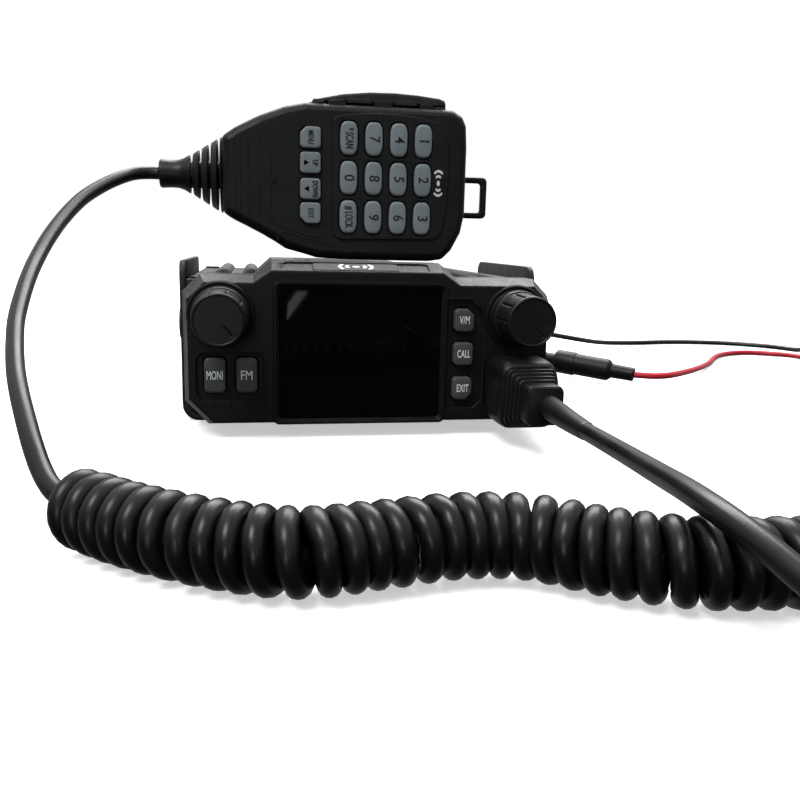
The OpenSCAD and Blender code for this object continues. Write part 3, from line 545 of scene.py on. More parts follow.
def panel_face():
    x, z, w, h = WINDOW
    outline = rounded(panel_outline(-0.15), 0.8)
    opening = rect(x, z, w + 2, h + 2, 1)
    jack = rect(37.5, 14, 14, 11, 1)
    left = rect(*LEFT_TRAY, 2.4)
    right = rect(*RIGHT_TRAY, 1.6, {(1, 1): 3.4, (1, -1): 2})
    skin = plate([outline, opening, left, right, jack], FRONT, FRONT + 1, 0.35)
    floor = plate([rounded(panel_outline(-1), 0.8), opening, jack, *[key_hole(k) for k in FRONT_KEYS]],
                  FRONT + 0.9, FRONT + 3, 0.2)
    # a chamfered frame leads down to the display window
    frame_rings = [(w + 5, h + 4.6, 1.6, 0.0), (w + 4.4, h + 4.1, 1.6, -0.5), (w + 3.4, h + 3.3, 1.4, -0.5),
                   (w + 1.7, h + 1.7, 1.0, 0.7), (w + 1.7, h + 1.7, 1.0, 2.0)]
    window_frame = rings_mesh([[(px, FRONT + d, pz) for px, pz in rect(x, z, a, b, r)]
                               for a, b, r, d in frame_rings], False, False)
    collars = [turned(kx, kz, [(FRONT + 0.3, 8.6), (FRONT - 0.5, 8.5), (FRONT - 0.9, 8.2), (FRONT - 0.9, 7.9),
                               (FRONT - 0.5, 7.7), (FRONT - 0.5, 7.5), (FRONT - 1.3, 7.35), (FRONT - 1.5, 7.1),
                               (FRONT - 1.5, 6.4), (FRONT - 1.2, 6.2), (FRONT - 1.2, 4.4)])
               for kx, kz in KNOBS.values()]
    ledges = [raised(rect(-31, 22.9, 5.2, 0.5, 0.2), 0.25), raised(rect(-44, 22.9, 1.6, 0.5, 0.2), 0.25),
              raised([(19.3, 37.5), (26.2, 37.5), (28.7, 34.9), (28.2, 34.4), (25.9, 36.8), (19.3, 36.8)],
                     0.35, 0.15),
              raised(rounded([(-24.4, 41.3), (13.6, 41.3), (15.4, 40.5), (13.8, 40.1), (-24.4, 40.1)], 0.2),
                     0.25, 0.12),
              raised(rect(-28.1, 15, 0.7, 15.4, 0.2), 0.25, 0.12)]
    notches = [raised(rect(notch_x, 9.4, 0.5, 1.7, 0.2), 0.2) for notch_x in (-41.2, -37.05, -32.9)]
    arrow = raised([(-30.6, 7.2), (-28.4, 7.2), (-28.4, 8.8)], 0.15, 0.06)
    stand_in("panel_face", "front_panel",
             merged(skin, floor, window_frame, *collars, *ledges, *notches, arrow), PANEL, angle=28)


def cut_away(target, cutter):
    """Takes cutter's volume out of target for good."""
    mod = target.modifiers.new("cut", "BOOLEAN")
    mod.operation, mod.solver, mod.object = "DIFFERENCE", "EXACT", cutter
    data = bpy.data.meshes.new_from_object(target.evaluated_get(bpy.context.evaluated_depsgraph_get()))
    target.modifiers.clear()
    target.data = data
    bpy.data.objects.remove(cutter)


CROWN_LOW = 43.8
CROWN_SLOPE = math.atan2(2.24, 6)


def on_crown(x, run, rise):
    """A point on the sloping edge above the display: run mm back along it from the face, rise above it."""
    c, s = math.cos(CROWN_SLOPE), math.sin(CROWN_SLOPE)
    return (x, FRONT + run * c - rise * s, CROWN_LOW + run * s + rise * c)


def crown_block(x0, x1, run0, run1, low, high, radius):
    """A block on that slope, with its upper edges chamfered."""
    chamfer = 0.12
    x, run, w, depth = (x0 + x1) / 2, (run0 + run1) / 2, x1 - x0, run1 - run0
    outer = rect(x, run, w, depth, radius)
    inner = rect(x, run, w - 2 * chamfer, depth - 2 * chamfer, radius)
    return rings_mesh([[on_crown(px, py, rise) for px, py in outline]
                       for outline, rise in ((outer, low), (outer, high - chamfer), (inner, high))])


def panel_rim():
    """The bevelled edge round the face and the skirt behind it, with a tray cut into the top."""
    steps = [(-0.1, FRONT + 0.15), (0.0, FRONT + 0.35), (1.32, BEVEL_BACK - 0.2), (1.4, BEVEL_BACK + 0.2),
             (1.4, PANEL_BACK - 0.3), (1.1, PANEL_BACK), (-1.8, PANEL_BACK), (-1.8, FRONT + 2.6),
             (-0.9, FRONT + 1)]
    rings = [[(x, y, z) for x, z in rounded(panel_outline(g), 0.25, 2)] for g, y in steps]
    bm = rings_mesh(rings + rings[:1], False, False)
    bmesh.ops.remove_doubles(bm, verts=bm.verts, dist=1e-6)
    sharp = 24
    rim = piece("panel_rim", bm, BEVEL, "radio", "panel_plastic", angle=sharp)
    cut_away(rim, piece("tray_cutter", crown_block(-23.4, 14.8, 0.45, 5.9, -0.5, 2.0, 1.3), BEVEL))
    rim.data.shade_smooth()
    rim.data.set_sharp_from_angle(angle=math.radians(sharp))


def badge():
    piece("badge_plate", crown_block(-15.8, 6.6, 0.95, 5.4, -0.6, -0.12, 0.5), BADGE, "radio",
          "panel_plastic", angle=20)
    wave_mark("badge_mark", lambda u, v: on_crown(-4.6 + u * 2.2, 3.2 + v * 1.25, -0.05), "radio",
              "panel_plastic")


def display():
    x, z, w, h = WINDOW
    glass = plate([rect(x, z, w + 1.6, h + 1.6, 0.9)], GLASS_FRONT, FRONT + 2, 0.18)
    stand_in("display_glass", "display_window", glass, GLASS, angle=30)


def knob(node):
    """A turned cap with ribs round its wall, and a sunk face with a pointer groove."""
    x, z = KNOBS[node]
    sides, rib_count, rib_depth = 240, 10, 0.42
    wall_front, wall_back = -65.4, -56.6

    def ribs(a, y, _):
        near = abs((a * rib_count / (2 * math.pi)) % 1 - 0.5) * 2
        on_wall = clamp((y - wall_front) / 0.4) * clamp((wall_back - y) / 0.4)
        return rib_depth * clamp((near - 0.8) / 0.08) * on_wall

    wall = [(-65.8 + k * 0.6, 6.42 + 0.018 * k) for k in range(16)]
    profile = [(-53.9, 3.4), (-53.9, 6.9), (-54.1, 7.15), (-55.9, 7.15), (-56.2, 6.95), (-56.3, 6.72)]
    profile += wall[::-1] + [(-66.1, 6.36), (-66.35, 6.2), (-66.45, 5.95), (-66.35, 5.78), (-66.1, 5.66)]
    body = turned(x, z, profile, sides, ribs)
    bmesh.ops.delete(body, geom=[f for f in body.faces if len(f.verts) == sides], context="FACES_ONLY")
    face_y, face_r = profile[-1]
    pointer, groove_depth, groove_width, ring_count = math.radians(-52), 0.28, 0.26, 25
    rings = []
    for i in range(ring_count):
        r = face_r * (1 - i / ring_count)
        ring = []
        for a in angles(sides):
            along, across = r * math.cos(a - pointer), r * math.sin(a - pointer)
            inside = clamp((along - 2.0) / 0.5) * clamp((5.3 - along) / 0.3)
            sunk = groove_depth * inside * math.exp(-(across / groove_width) ** 2)
            ring.append((x + r * math.cos(a), face_y + sunk, z + r * math.sin(a)))
        rings.append(ring)
    whole = merged(body, rings_mesh(rings, False, True))
    bmesh.ops.remove_doubles(whole, verts=whole.verts, dist=2e-6)
    stand_in(node + "_cap", node, whole, KNOB, angle=38)


FRONT_LEGENDS = {"front_key_left": ("MONI", 3.1, 0.52), "front_key_right": ("FM", 3.4, 0.76),
                 "front_key_upper": ("V/M", 2.9, 0.58), "front_key_middle": ("CALL", 2.9, 0.52),
                 "front_key_lower": ("EXIT", 2.9, 0.56)}


def front_keys():
    front = FRONT - 1
    for node, (x, z, w, h, cut) in FRONT_KEYS.items():
        key_cap(node, rect(x, z, w, h, 1.3, cut), -48.6, front, 0.55, 0.12, FRONT_KEY)
        text, size, squeeze = FRONT_LEGENDS[node]
        lettering(node, text, x, z, front, size, LEGEND, 0, squeeze)


def mic_plug():
    """A moulded plug: a rounded body against the panel, four steps and a square end that holds the cord."""
    x, z = 38, 13.5

    def section(y, w, h, r, dx=0.0, dz=0.0):
        return [(px, y, pz) for px, pz in rect(x + dx, z + dz, w, h, r)]

    body = rings_mesh([
        section(-52.3, 13.6, 16.2, 2.4, 0, 0.2), section(-52.9, 14.4, 17.2, 2.6, 0, 0.2),
        section(-54.5, 15, 17.8, 3, 0, 0.2), section(-62, 15, 17.8, 3, 0, 0.2),
        section(-65.2, 14.8, 17.4, 3, 0, 0.1), section(-66.4, 14.3, 16.6, 2.8), section(-67, 13.2, 15.2, 2.4)])
    steps = []
    for i in range(4):
        y = -69 - 1.75 * i
        w, h = 13.4 - i, 14.6 - 1.2 * i
        steps.append(plate([rect(x, z, w, h, 1.8)], y, y + 1.15, 0.35, 3))
        steps.append(plate([rect(x, z, w - 1.9, h - 1.9, 1.2)], y + 1, y + 2.2, 0.1, 1))
    end = rings_mesh([section(-74.6, 9.0, 9.4, 1.6, -0.1), section(-75, 9.4, 9.8, 1.7, -0.1),
                      section(-79, 9.4, 9.8, 1.7, -0.1), section(-79.7, 9.1, 9.5, 1.7, -0.1),
                      section(-80, 8.2, 8.6, 1.5, -0.1)])
    seam = plate([rect(x - 7.5, z - 1, 0.25, 9, 0.1)], -64, -53, 0.06, 1)
    return stand_in("mic_plug_body", "mic_plug", merged(body, *steps, end, seam), SOFT, bevel=0.12, angle=30)


panel_face()
panel_rim()
badge()
display()
for knob_node in KNOBS:
    knob(knob_node)
front_keys()
plug = mic_plug()

# ---------------------------------------------------------------- body and bracket

for cad_shape in (
        ("body_casting", "chassis", CAST, 0.3), ("cover", "top_cover", CAST, 0.25),
        ("bracket_steel", "bracket", STEEL_PAINT, 0.3), ("cover_screws", "case_screws", SCREW, 0.15),
        ("tilt_screws", "bracket_screws", SCREW, 0.25), ("fan_housing", "fan_frame", CAST, 0.25),
        ("fan_blades", "fan_rotor", KNOB, 0.15), ("lead_grommet", "dc_grommet", SOFT, 0.4),
        ("jack_bushing", "speaker_jack", NICKEL, 0.15), ("jack_shell", "mic_jack", KNOB, 0.2)):
    softened(*cad_shape)


def antenna_thread():
    """The socket's barrel, with a helical thread of 1 mm pitch, and its flange."""
    x, z = -33, 23
    crest, depth, start, per_turn, count = 7.5, 0.34, 58.6, 8, 95
    profile = [(58.2, 7.0), (58.4, 7.3)] + [(start + k / per_turn, crest) for k in range(count)]
    profile += [(70.6, 7.2), (71, 6.8), (71, 5.7), (70.6, 5.6), (61.2, 5.6), (61.2, 2.2), (60.4, 2.0),
                (60.4, 0.2)]
    barrel = turned(x, z, profile, 96,
                    lambda a, y, r: -depth * math.cos(2 * math.pi * y + a) if r == crest else 0)
    holes = [circle(x + sx * 7.8, z + sz * 7.8, 1.2, 24) for sx in (-1, 1) for sz in (-1, 1)]
    flange = plate([rect(x, z, 20, 20, 1.2), *holes], 56.1, 58, 0.25)
    collar = turned(x, z, [(57.9, 8.6), (58.3, 8.5), (58.5, 8.2), (58.5, 7.0)])
    stand_in("antenna_barrel", "antenna_socket", merged(barrel, flange, collar), NICKEL, angle=40)


antenna_thread()

# ---------------------------------------------------------------- handset

HAND_FACE, HAND_SPLIT, HAND_Z = -8.0, 5.0, 70.4
UPPER = [(-40, 10.6), (-36, 13.4), (-31, 16), (-28.6, 17.2), (-25, 18.6), (-21.7, 19.9), (-15.3, 21.3),
         (-9, 21.3), (8, 21.3), (20, 21.3), (27, 21.3), (30, 21.2), (33, 19.5), (34.4, 16.6), (34.8, 10.4)]
LOWER = [(-40, -11.4), (-36.5, -13.4), (-33.7, -14.7), (-28.3, -17.4), (-24, -19.8), (-20.7, -21.9),
         (-15.3, -23.3), (-11.9, -24.3), (-4, -24.7), (10, -24.8), (23.7, -24.8), (27.9, -24.2),
         (30.7, -21.4), (33.7, -15.7), (34.8, -10)]


def handset_outline(inset):
    """The shell's closed outline, drawn in by inset mm, with soft corners."""
    points = [(x, HAND_Z + z) for x, z in LOWER] + [(x, HAND_Z + z) for x, z in UPPER[::-1]]
    line = [Vector(p) for p in rounded(points, 2.6, 3)]
    out, n = [], len(line)
    for i in range(n):
        along = (line[(i + 1) % n] - line[i - 1]).normalized()
        inward = Vector((-along[1], along[0]))
        out.append(tuple(line[i] + inward * inset))
    return out


def shell(steps, first, last):
    """A half of the case: its outline swept through (inset, y) steps."""
    rings = [[(x, y, z) for x, z in handset_outline(inset)] for inset, y in steps]
    return rings_mesh(rings, first, last)


KEY_COLUMNS = (-2.4, 5.2, 12.8, 20.4)
KEY_ROWS = {11.2: "*741", -0.3: "0852", -11.8: "#963"}
KEY_NODES = {"*": "key_star", "#": "key_hash"}
KEY_WORDS = {"*": "* SCAN", "#": "# LOCK"}
NUMBER_KEYS = {KEY_NODES.get(sign, "key_" + sign): (x, z, sign)
               for z, signs in KEY_ROWS.items() for x, sign in zip(KEY_COLUMNS, signs)}
SIDE_KEYS = {"key_menu": (11, {(-1, 1): 1.8}), "key_up": (3.7, ()), "key_down": (-3.9, ()),
             "key_exit": (-11, {(-1, -1): 1.8})}
SIDE_X = -13.9
PAD = [(-7.4, 87.6), (-3.6, 88.5), (4, 89.2), (12, 89.2), (20, 88.5), (25.4, 87.2), (27.6, 84.6), (28.6, 79.5),
       (28.7, 70), (28.3, 62), (27, 54.5), (24.6, 52.3), (-4.6, 51.6), (-7.2, 53.2)]


def with_lever_pocket(bm):
    """Opens the upper side of a closed shell where the talk lever sits."""
    whole = piece("shell_blank", bm, SHELL, smooth=False)
    opening = rings_mesh([[(x, y, z) for x, z in rect(6.75, HAND_Z + 19.5, 43.5, 13)] for y in (-5.1, 13.1)])
    cut_away(whole, piece("pocket_cutter", opening, SHELL, smooth=False))
    data = whole.data
    bpy.data.objects.remove(whole)
    return taken(data)


def pads(base, lean, radius, y0, y1, edge, tops):
    """Low blocks along the upper edge; tops gives (x0, x1, z0, z1) for each."""
    return [plate([rounded([(x0, base), (x1, base), (x1 - lean, z1), (x0 + lean, z0)], radius)], y0, y1, edge)
            for x0, x1, z0, z1 in tops]


def face_mouldings():
    """On the face: three slots' lips, ribs towards the cord, and curved lines round the keypad."""
    root, half = HAND_FACE + 0.3, 0.75
    lips = [[(x - half, z - 0.3), (x + half, z - 0.05), (x + half, z + 0.25), (x - half, z)]
            for x, z in ((-34, 79.3), (-31.5, 80.2), (-28.9, 81.1))]
    slots = [plate([rounded(lip, 0.1)], HAND_FACE - 0.12, root, 0.08) for lip in lips]
    ribs = [plate([rect(x, HAND_Z - 0.6 + drop, 0.35, high, 0.12)], HAND_FACE - 0.14, root, 0.07)
            for x, high, drop in ((-36.2, 21, 0), (-34.6, 22, 0), (-32.2, 23, -1), (-29.2, 24, -2),
                                  (-25.6, 22, -2.4))]
    lines = [stroke([(-25.8, 57.9), (-24.5, 56.3), (-21.4, 54.9), (-17.7, 53.7), (-13.4, 52.7), (-10.2, 52.3)],
                    0.5, HAND_FACE - 0.2, root),
             stroke([(-23.6, 50.9), (-23.3, 52.8), (-21.7, 53.6), (-16, 52.2), (-8.6, 50.4), (-7.0, 49.6)],
                    0.45, HAND_FACE - 0.16, root)]
    return slots + ribs + lines


def handset_front():
    face_inset = 2.3
    rounding = [(face_inset, HAND_FACE + 0.02), (1.55, HAND_FACE + 0.25), (0.85, HAND_FACE + 0.85),
                (0.35, HAND_FACE + 1.6), (0.08, HAND_FACE + 2.6), (0, HAND_FACE + 3.6)]
    wall = [(0, HAND_SPLIT - 0.45), (0.3, HAND_SPLIT - 0.12), (2.2, HAND_SPLIT - 0.1), (2.4, HAND_FACE + 1.7),
            (face_inset, HAND_FACE + 0.02)]
    skin = shell(rounding + wall, False, False)
    bmesh.ops.remove_doubles(skin, verts=skin.verts, dist=1e-6)
    skin = with_lever_pocket(skin)
    side_holes = [rect(SIDE_X, HAND_Z + z, 6.8, 6.8, 1.3, cut) for z, cut in SIDE_KEYS.values()]
    key_holes = [oval(x, HAND_Z + z, 5.9, 10.4) for x, z, _ in NUMBER_KEYS.values()]
    mic_x, mic_z = -24.4, HAND_Z - 2.4
    face = plate([handset_outline(face_inset - 0.05), *side_holes, *key_holes, circle(mic_x, mic_z, 0.55, 20)],
                 HAND_FACE, HAND_FACE + 1.6, 0.12)
    mic_floor = plate([circle(mic_x, mic_z, 1.4, 20)], HAND_FACE + 0.6, HAND_FACE + 1.4, 0.1)
    pad = plate([rounded(PAD, 2.4), *key_holes], HAND_FACE - 0.6, HAND_FACE + 0.5, 0.35, 3)
    # these stand up from the upper edge, under the lever
    grips = pads(90.6, 0.5, 0.4, -5.9, -5.15, 0.2, ((-15, -9.4, 91.6, 92.6), (-8.8, -2.9, 92.6, 93.2),
                                                    (5.4, 11.4, 93.2, 93.3), (19.4, 24.4, 92.9, 92.6)))
    whole = merged(skin, face, mic_floor, pad, *face_mouldings(), *grips)
    stand_in("handset_front_shell", "handset_front", whole, SHELL, angle=32)


def stroke(points, width, y0, y1, edge=0.1):
    """A flat strip that follows a curve on a face."""
    line = smooth_path([Vector((x, 0, z)) for x, z in points], 0.6)
    left, right = [], []
    for i, p in enumerate(line):
        along = (line[min(i + 1, len(line) - 1)] - line[max(i - 1, 0)]).normalized()
        off = Vector((-along.z, 0, along.x)) * width / 2
        left.append((p.x + off.x, p.z + off.z))
        right.append((p.x - off.x, p.z - off.z))
    return plate([left + right[::-1]], y0, y1, edge, 1)


def handset_rear():
    steps = [(4.4, 15.9), (2.6, 14.6), (2.2, 13), (2.2, HAND_SPLIT + 0.1), (0.3, HAND_SPLIT + 0.12),
             (0, HAND_SPLIT + 0.45), (0, 12.6), (0.25, 14.2), (0.9, 15.7), (1.9, 16.8), (3.2, 17.6),
             (4.6, 17.95)]
    skin = with_lever_pocket(shell(steps, True, True))
    screws = [turned(x, z, [(17.9, 2.4), (18, 2.1), (18, 1.9), (17.1, 1.7), (17.1, 0.2)], 32)
              for x, z in ((-22, 76), (-22, 64), (24, 84), (24, 56))]
    # finger ribs across the back
    ribs = [plate([rect(x, HAND_Z - 1.5, 1.2, 26, 0.5)], 17.5, 18, 0.2) for x in range(-12, 14, 4)]
    lug = plate([rect(28, 70, 5, 6, 1)], 17.4, 18, 0.2)
    stand_in("handset_rear_shell", "handset_rear", merged(skin, *screws, *ribs, lug), SHELL, angle=32)


LEVER_TOP = [(-13.2, 22.2), (-12, 22.7), (-9, 23.4), (-4, 24.5), (4, 25.4), (12, 25.6), (19, 25.3), (26, 24.6),
             (27.6, 24), (28, 23)]


def talk_lever():
    top = [(x, HAND_Z + z) for x, z in LEVER_TOP]
    under = [(28, 92.1), (-13.2, 92.1)]
    bar = plate([rounded(top + under, 0.5, 3)], -4.7, 12.7, 0.9, 4)
    # along the front edge, a little lower than the bar's back
    grips = pads(92.2, 0.3, 0.3, -5.0, -3.6, 0.3, ((-2.6, 4.9, 93.7, 93.9), (12, 18.8, 93.9, 93.6)))
    foot = plate([rect(26.3, 90.2, 3.4, 4.6, 0.6)], -4.6, 12.6, 0.3)
    finger = plate([rect(-5, 89.6, 4, 5.2, 0.6)], 2, 4.4, 0.3)
    pin = turned(26.4, 88.6, [(-6.4, 0.9), (-6.3, 1.15), (14.5, 1.15), (14.6, 0.9)], 32)
    stand_in("talk_lever_bar", "talk_lever", merged(bar, *grips, foot, finger, pin), LEVER, angle=32)


def handset_keys():
    front, back = HAND_FACE - 1.5, HAND_FACE + 2.6
    lengthwise = 90
    for node, (x, z, sign) in NUMBER_KEYS.items():
        key_cap(node, oval(x, HAND_Z + z, 5.3, 9.8), back, front, 0.55, 0.15, HANDSET_KEY)
        size, squeeze = (3.3, 0.55) if sign in KEY_WORDS else (4.3, 0.9)
        lettering(node, KEY_WORDS.get(sign, sign), x, HAND_Z + z, front - 0.02, size, INK, lengthwise, squeeze)
    for node, (z, cut) in SIDE_KEYS.items():
        key_cap(node, rect(SIDE_X, HAND_Z + z, 6.2, 6.2, 1.1, cut), back, front, 0.5, 0.12, HANDSET_KEY)
        way = {"key_up": 1, "key_down": -1}.get(node, 0)
        lettering(node, node[4:].upper(), SIDE_X + 1.3 * abs(way), HAND_Z + z, front - 0.02, 2.3, INK,
                  lengthwise, 0.62)
        if way:
            x, tip, half = SIDE_X - 1.2, 0.75 * way, 0.85
            bm = bmesh.new()
            add_face(bm, [(x + across, front - 0.04, HAND_Z + z + up)
                          for across, up in ((tip, 0), (-tip, half), (-tip, -half))])
            bmesh.ops.solidify(bm, geom=bm.faces[:], thickness=0.05 * MM)
            piece(node + "_arrow", bm, INK, node, "handset_key", smooth=False)


def cord_boot():
    """A ribbed cone round the cord, then a plain sleeve."""
    core, rib_count, rib_pitch = 4.1, 3, 2.75
    profile = [(-34.5, 4.2), (-39.9, 4.2), (-40.1, 11), (-40.3, 11.4), (-40.7, 11.1), (-40.75, core)]
    # wide ribs whose edges follow one cone, with narrow gaps between them
    for k in range(rib_count):
        x0 = -41.5 - rib_pitch * k
        outer = 10.7 - 1.7 * k
        profile += [(x0, core), (x0 - 0.05, outer - 0.15), (x0 - 0.2, outer), (x0 - 1.75, outer - 1.05),
                    (x0 - 1.9, outer - 1.3), (x0 - 1.95, core)]
    profile += [(-49.8, core), (-49.85, 5.7), (-50.1, 5.7), (-51.8, 4.7), (-53.4, 4.2), (-55.5, 4.1),
                (-58.2, 4.3), (-58.8, 4.1), (-59.0, 3.7), (-59.0, 1.9)]
    cone = rings_mesh([[(x, y, z) for y, z in circle(HAND_SPLIT, HAND_Z, r, 56)] for x, r in profile])
    # ties between the ribs, above and below the core
    ties = [plate([rect(-46.4, HAND_Z + side * 3.6, 10.5, 0.8, 0.3)], HAND_SPLIT - 0.6, HAND_SPLIT + 0.6, 0.2)
            for side in (-1, 1)]
    stand_in("cord_boot_ribs", "cord_boot", merged(cone, *ties), SOFT, angle=32)


def hanger():
    outline = rect(39.2, 66.4, 14, 13.4, 1.6)
    hole = rect(40.4, 66.4, 7.6, 9.6, 1)
    stand_in("hanger_ring", "hanger_loop", plate([outline, hole], 10, 12.6, 0.75, 4), SHELL, angle=40)


handset_front()
handset_rear()
talk_lever()
handset_keys()
cord_boot()
hanger()
wave_mark("handset_mark", lambda u, v: (25.4 + v * 1.1, HAND_FACE - 0.64, 69.4 - u * 1.9), "handset",
          "handset_plastic")

# ---------------------------------------------------------------- microphone cord

CORD_D, CURL_D = 3.8 * MM, 13.6 * MM
HANDSET_TAIL = route(
    "-59.4,5,70.4 -62.4,5,70.4 -66.6,3,69.8 -71,-2.6,67.6 -75,-9,64.6 -78.4,-16,61 -81.2,-25,56"
    " -83,-34,51 -84,-43,46 -84.2,-52,41.4 -83.8,-61,36.8 -83,-69.5,32.4 -81.2,-78.5,28 -79,-87,24"
    " -76.4,-95,20.6 -73.6,-102.5,17.2 -70.8,-109.5,13.8 -68,-115.5,10.6 -64.8,-121,8.4 -60.4,-125.8,7.2")
CURL_LINE = route(
    "-60.4,-125.8,7.2 -51,-135.6,7.2 -38.4,-145,7.2 -25,-151,7.2 -12,-149.2,7.2 0,-147,7.2"
    " 11,-148.6,7.2 21,-156,7.2 32,-161.4,7.2 45,-163,7.2 59,-163,7.2 73,-163.6,7.2 86,-166,7.2"
    " 98,-171,7.2")
PLUG_TAIL = route(
    "38.7,-80,13.4 38.3,-92,13.2 38,-104,13.2 37.4,-118,13.6 36,-132,14.4 33.8,-146,15.6"
    " 32,-157,16.6 31.2,-168,16.6 32,-177,15.2 34,-186,12.6 38,-196,9.4 44.6,-206,6.2 54,-214,3.8"
    " 66,-219,2.4 80,-220.4,2.1 93,-217,2.3 103,-209,3.4 109,-198,5 110,-187,6.4 106,-177.4,7.1"
    " 98,-171,7.2")


def mic_cord_path():
    """Handset tail, curly part and plug tail as one line; the turns lie a little over a diameter apart."""
    axis = smooth_path(CURL_LINE, 0.2 * MM)
    sides = frames(axis)
    turns = math.floor(length_of(axis) / (CORD_D * 1.025)) - 0.5
    radius = (CURL_D - CORD_D) / 2
    per_turn, opening = 26, 0.7
    helix = []
    count = int(turns * per_turn)
    for i in range(count + 1):
        u = i / count
        # the first and last turns open out of the straight tails
        grow = ease(min(1, u * turns / opening, (1 - u) * turns / opening))
        j = round(u * (len(axis) - 1))
        # turns bunch and open a little along the cord
        a = 2 * math.pi * (u * turns + 0.10 * math.sin(u * 23) + 0.06 * math.sin(u * 57 + 1)) + math.pi
        side, rise = sides[j]
        helix.append(axis[j] + radius * grow * (math.cos(a) * side + math.sin(a) * rise))
    head = smooth_path(HANDSET_TAIL, 2.0 * MM)
    tail = smooth_path(PLUG_TAIL[::-1], 2.0 * MM)
    return head[:-1] + helix + tail[1:]


MIC_PATH = mic_cord_path()
mic_cord = piece("mic_cord", tube(MIC_PATH, [CORD_D / 2] * len(MIC_PATH), 14), JACKET, None, "cord_jacket",
                 ("cord_handset_tail", "cord_curl", "cord_plug_tail"))


def strain_relief():
    """A tapered sleeve round the first stretch of cord at the plug."""
    sleeve_end, wide, taper = -106 * MM, 2.9, 0.85
    line = [p for p in smooth_path(PLUG_TAIL[:4], 0.8 * MM) if p.y > sleeve_end]
    count = len(line) - 1
    radii = [(wide - taper * (k / count) ** 1.2) * MM for k in range(count + 1)]
    radii[-1] = 1.93 * MM
    return piece("plug_strain_relief", tube(line, radii, 20), SOFT, "radio", "soft_black", angle=60)


sleeve = strain_relief()
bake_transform(mic_cord)

# ---------------------------------------------------------------- supply lead

WIRE_D = 2.4 * MM
BLACK_ROUTE = route(
    "34,60,18.5 35,70,18.6 41,81,18.2 52,89.6,17.4 66,94.6,16.2 81,98,14.3 96,102,11.9 111,108,9.1"
    " 126,116.6,6.2 140,127.6,3.6 154,137,2 169,143.4,1.3 185,146.6,1.3 201,147,1.3 216,144,1.3"
    " 229,137.4,1.3 239,127.6,1.3 244.6,115.6,1.3 244.6,103,1.4 240.6,91.6,1.6 236.6,83,1.8")
RED_INNER = route(
    "38.5,60,15 40,67,14.8 46,73,13.8 54.6,73.4,12.4 62,68,10.8 67.6,59.6,9.6 73,51.6,8.6"
    " 77,46.4,8 81,42,7.6")
RED_OUTER = route(
    "109,20,4.5 114.6,17.6,4.4 120.6,18.6,4.3 126.6,22.6,4.1 132.6,28,3.8 139,34.4,3.4 146,42,2.9"
    " 153.6,51,2.3 161.6,61,1.7 170,71.6,1.3 178,82.6,1.3 187,93.4,1.3 197,101,1.3 209,104.6,1.3"
    " 219,100.6,1.3 226,92,1.5 231.4,82,1.8 236,73.6,2")
COIL = Vector((250, 78, 0)) * MM
COIL_INNER, COIL_TURNS, LAYER = 9.6, 5, WIRE_D * 1.01


def wound(start_angle, base, extra):
    """Two layers of turns, counterclockwise: inwards, up one wire, outwards, and extra degrees more."""

    def at(degrees, radius, layer):
        a = math.radians(start_angle + degrees)
        return COIL + Vector((radius * MM * math.cos(a), radius * MM * math.sin(a), base + layer * LAYER))

    radii = [COIL_INNER + 2.4 * k for k in range(COIL_TURNS)]
    order = [(r, 0) for r in radii[::-1]] + [(r, 1) for r in radii]
    order.append(order[-1])
    points = []
    # the last quarter of each turn moves over to the next
    for (r, layer), (r2, layer2) in zip(order, order[1:]):
        for d in range(0, 360, 15):
            t = ease(clamp((d - 270) / 90))
            points.append(at(d, r + (r2 - r) * t, layer + (layer2 - layer) * t))
    return points + [at(d, *order[-1]) for d in range(0, extra + 1, 15)]


RED_COIL = wound(215, 1.3 * MM, 15)
BLACK_COIL = wound(150, 1.3 * MM + 2 * LAYER, 90)
RED_END = route("243.6,58,3.5 245.8,53.4,2.7 246,48.6,1.9 246,44.8,1.7")
BLACK_END = route("246,57.4,8.2 251,54.6,6.4 254.6,51.4,4 256,47.8,2.2 256,44.8,1.7")


def wire_path(free, coil=(), end=()):
    """A free stretch, then a coil's own points, then its end."""
    if not coil:
        return smooth_path(free, 1.5 * MM)
    head = smooth_path(free + coil[:1], 2.0 * MM)
    return head[:-1] + coil + smooth_path([coil[-1]] + end, 1.5 * MM)[1:]


def wire(name, path, mat, replaced):
    made = piece(name, tube(path, [WIRE_D / 2] * len(path), 10), mat, "radio", SLOT_OF[replaced[0]], replaced)


def ring_terminal(name, x):
    """A stamped ring with a crimped barrel; the wire comes in from +Y. Sizes in mm."""
    y, z, thick = 34, 0.6, 0.8
    corners = [(2.1, z), (4, z), (4, z + thick), (2.1, z + thick)]
    turns = [[(x + r * math.cos(a), y + r * math.sin(a), h) for r, h in corners] for a in angles(40)]
    ring = rings_mesh(turns + turns[:1], False, False)
    bmesh.ops.remove_doubles(ring, verts=ring.verts, dist=1e-6)
    # neck and barrel: sections that roll from flat to round, pinched at the crimp
    sections, steps = [], 8
    for k in range(steps + 1):
        u = k / steps
        roll = min(1, u * 3)
        pinch = 1 - 0.16 * math.exp(-((u - 0.72) / 0.09) ** 2)
        w, h = 1.9 - 0.3 * roll, 0.4 + 1.2 * roll
        sections.append([(x + w * pinch * math.cos(a), y + 3.4 + 7.6 * u, z + h + h * pinch * math.sin(a))
                         for a in angles(20)])
    return stand_in(name, "ring_terminals", merged(ring, rings_mesh(sections)), NICKEL, bevel=0.08)


def lathe_along(start, end, profile, sides=40):
    """Turns (distance, radius) points in mm about the line from start to end."""
    axis = (end - start).normalized()
    side = axis.orthogonal().normalized()
    rise = axis.cross(side)
    return skinned([[start + (axis * d + r * (math.cos(a) * side + math.sin(a) * rise)) * MM
                     for a in angles(sides)] for d, r in profile])


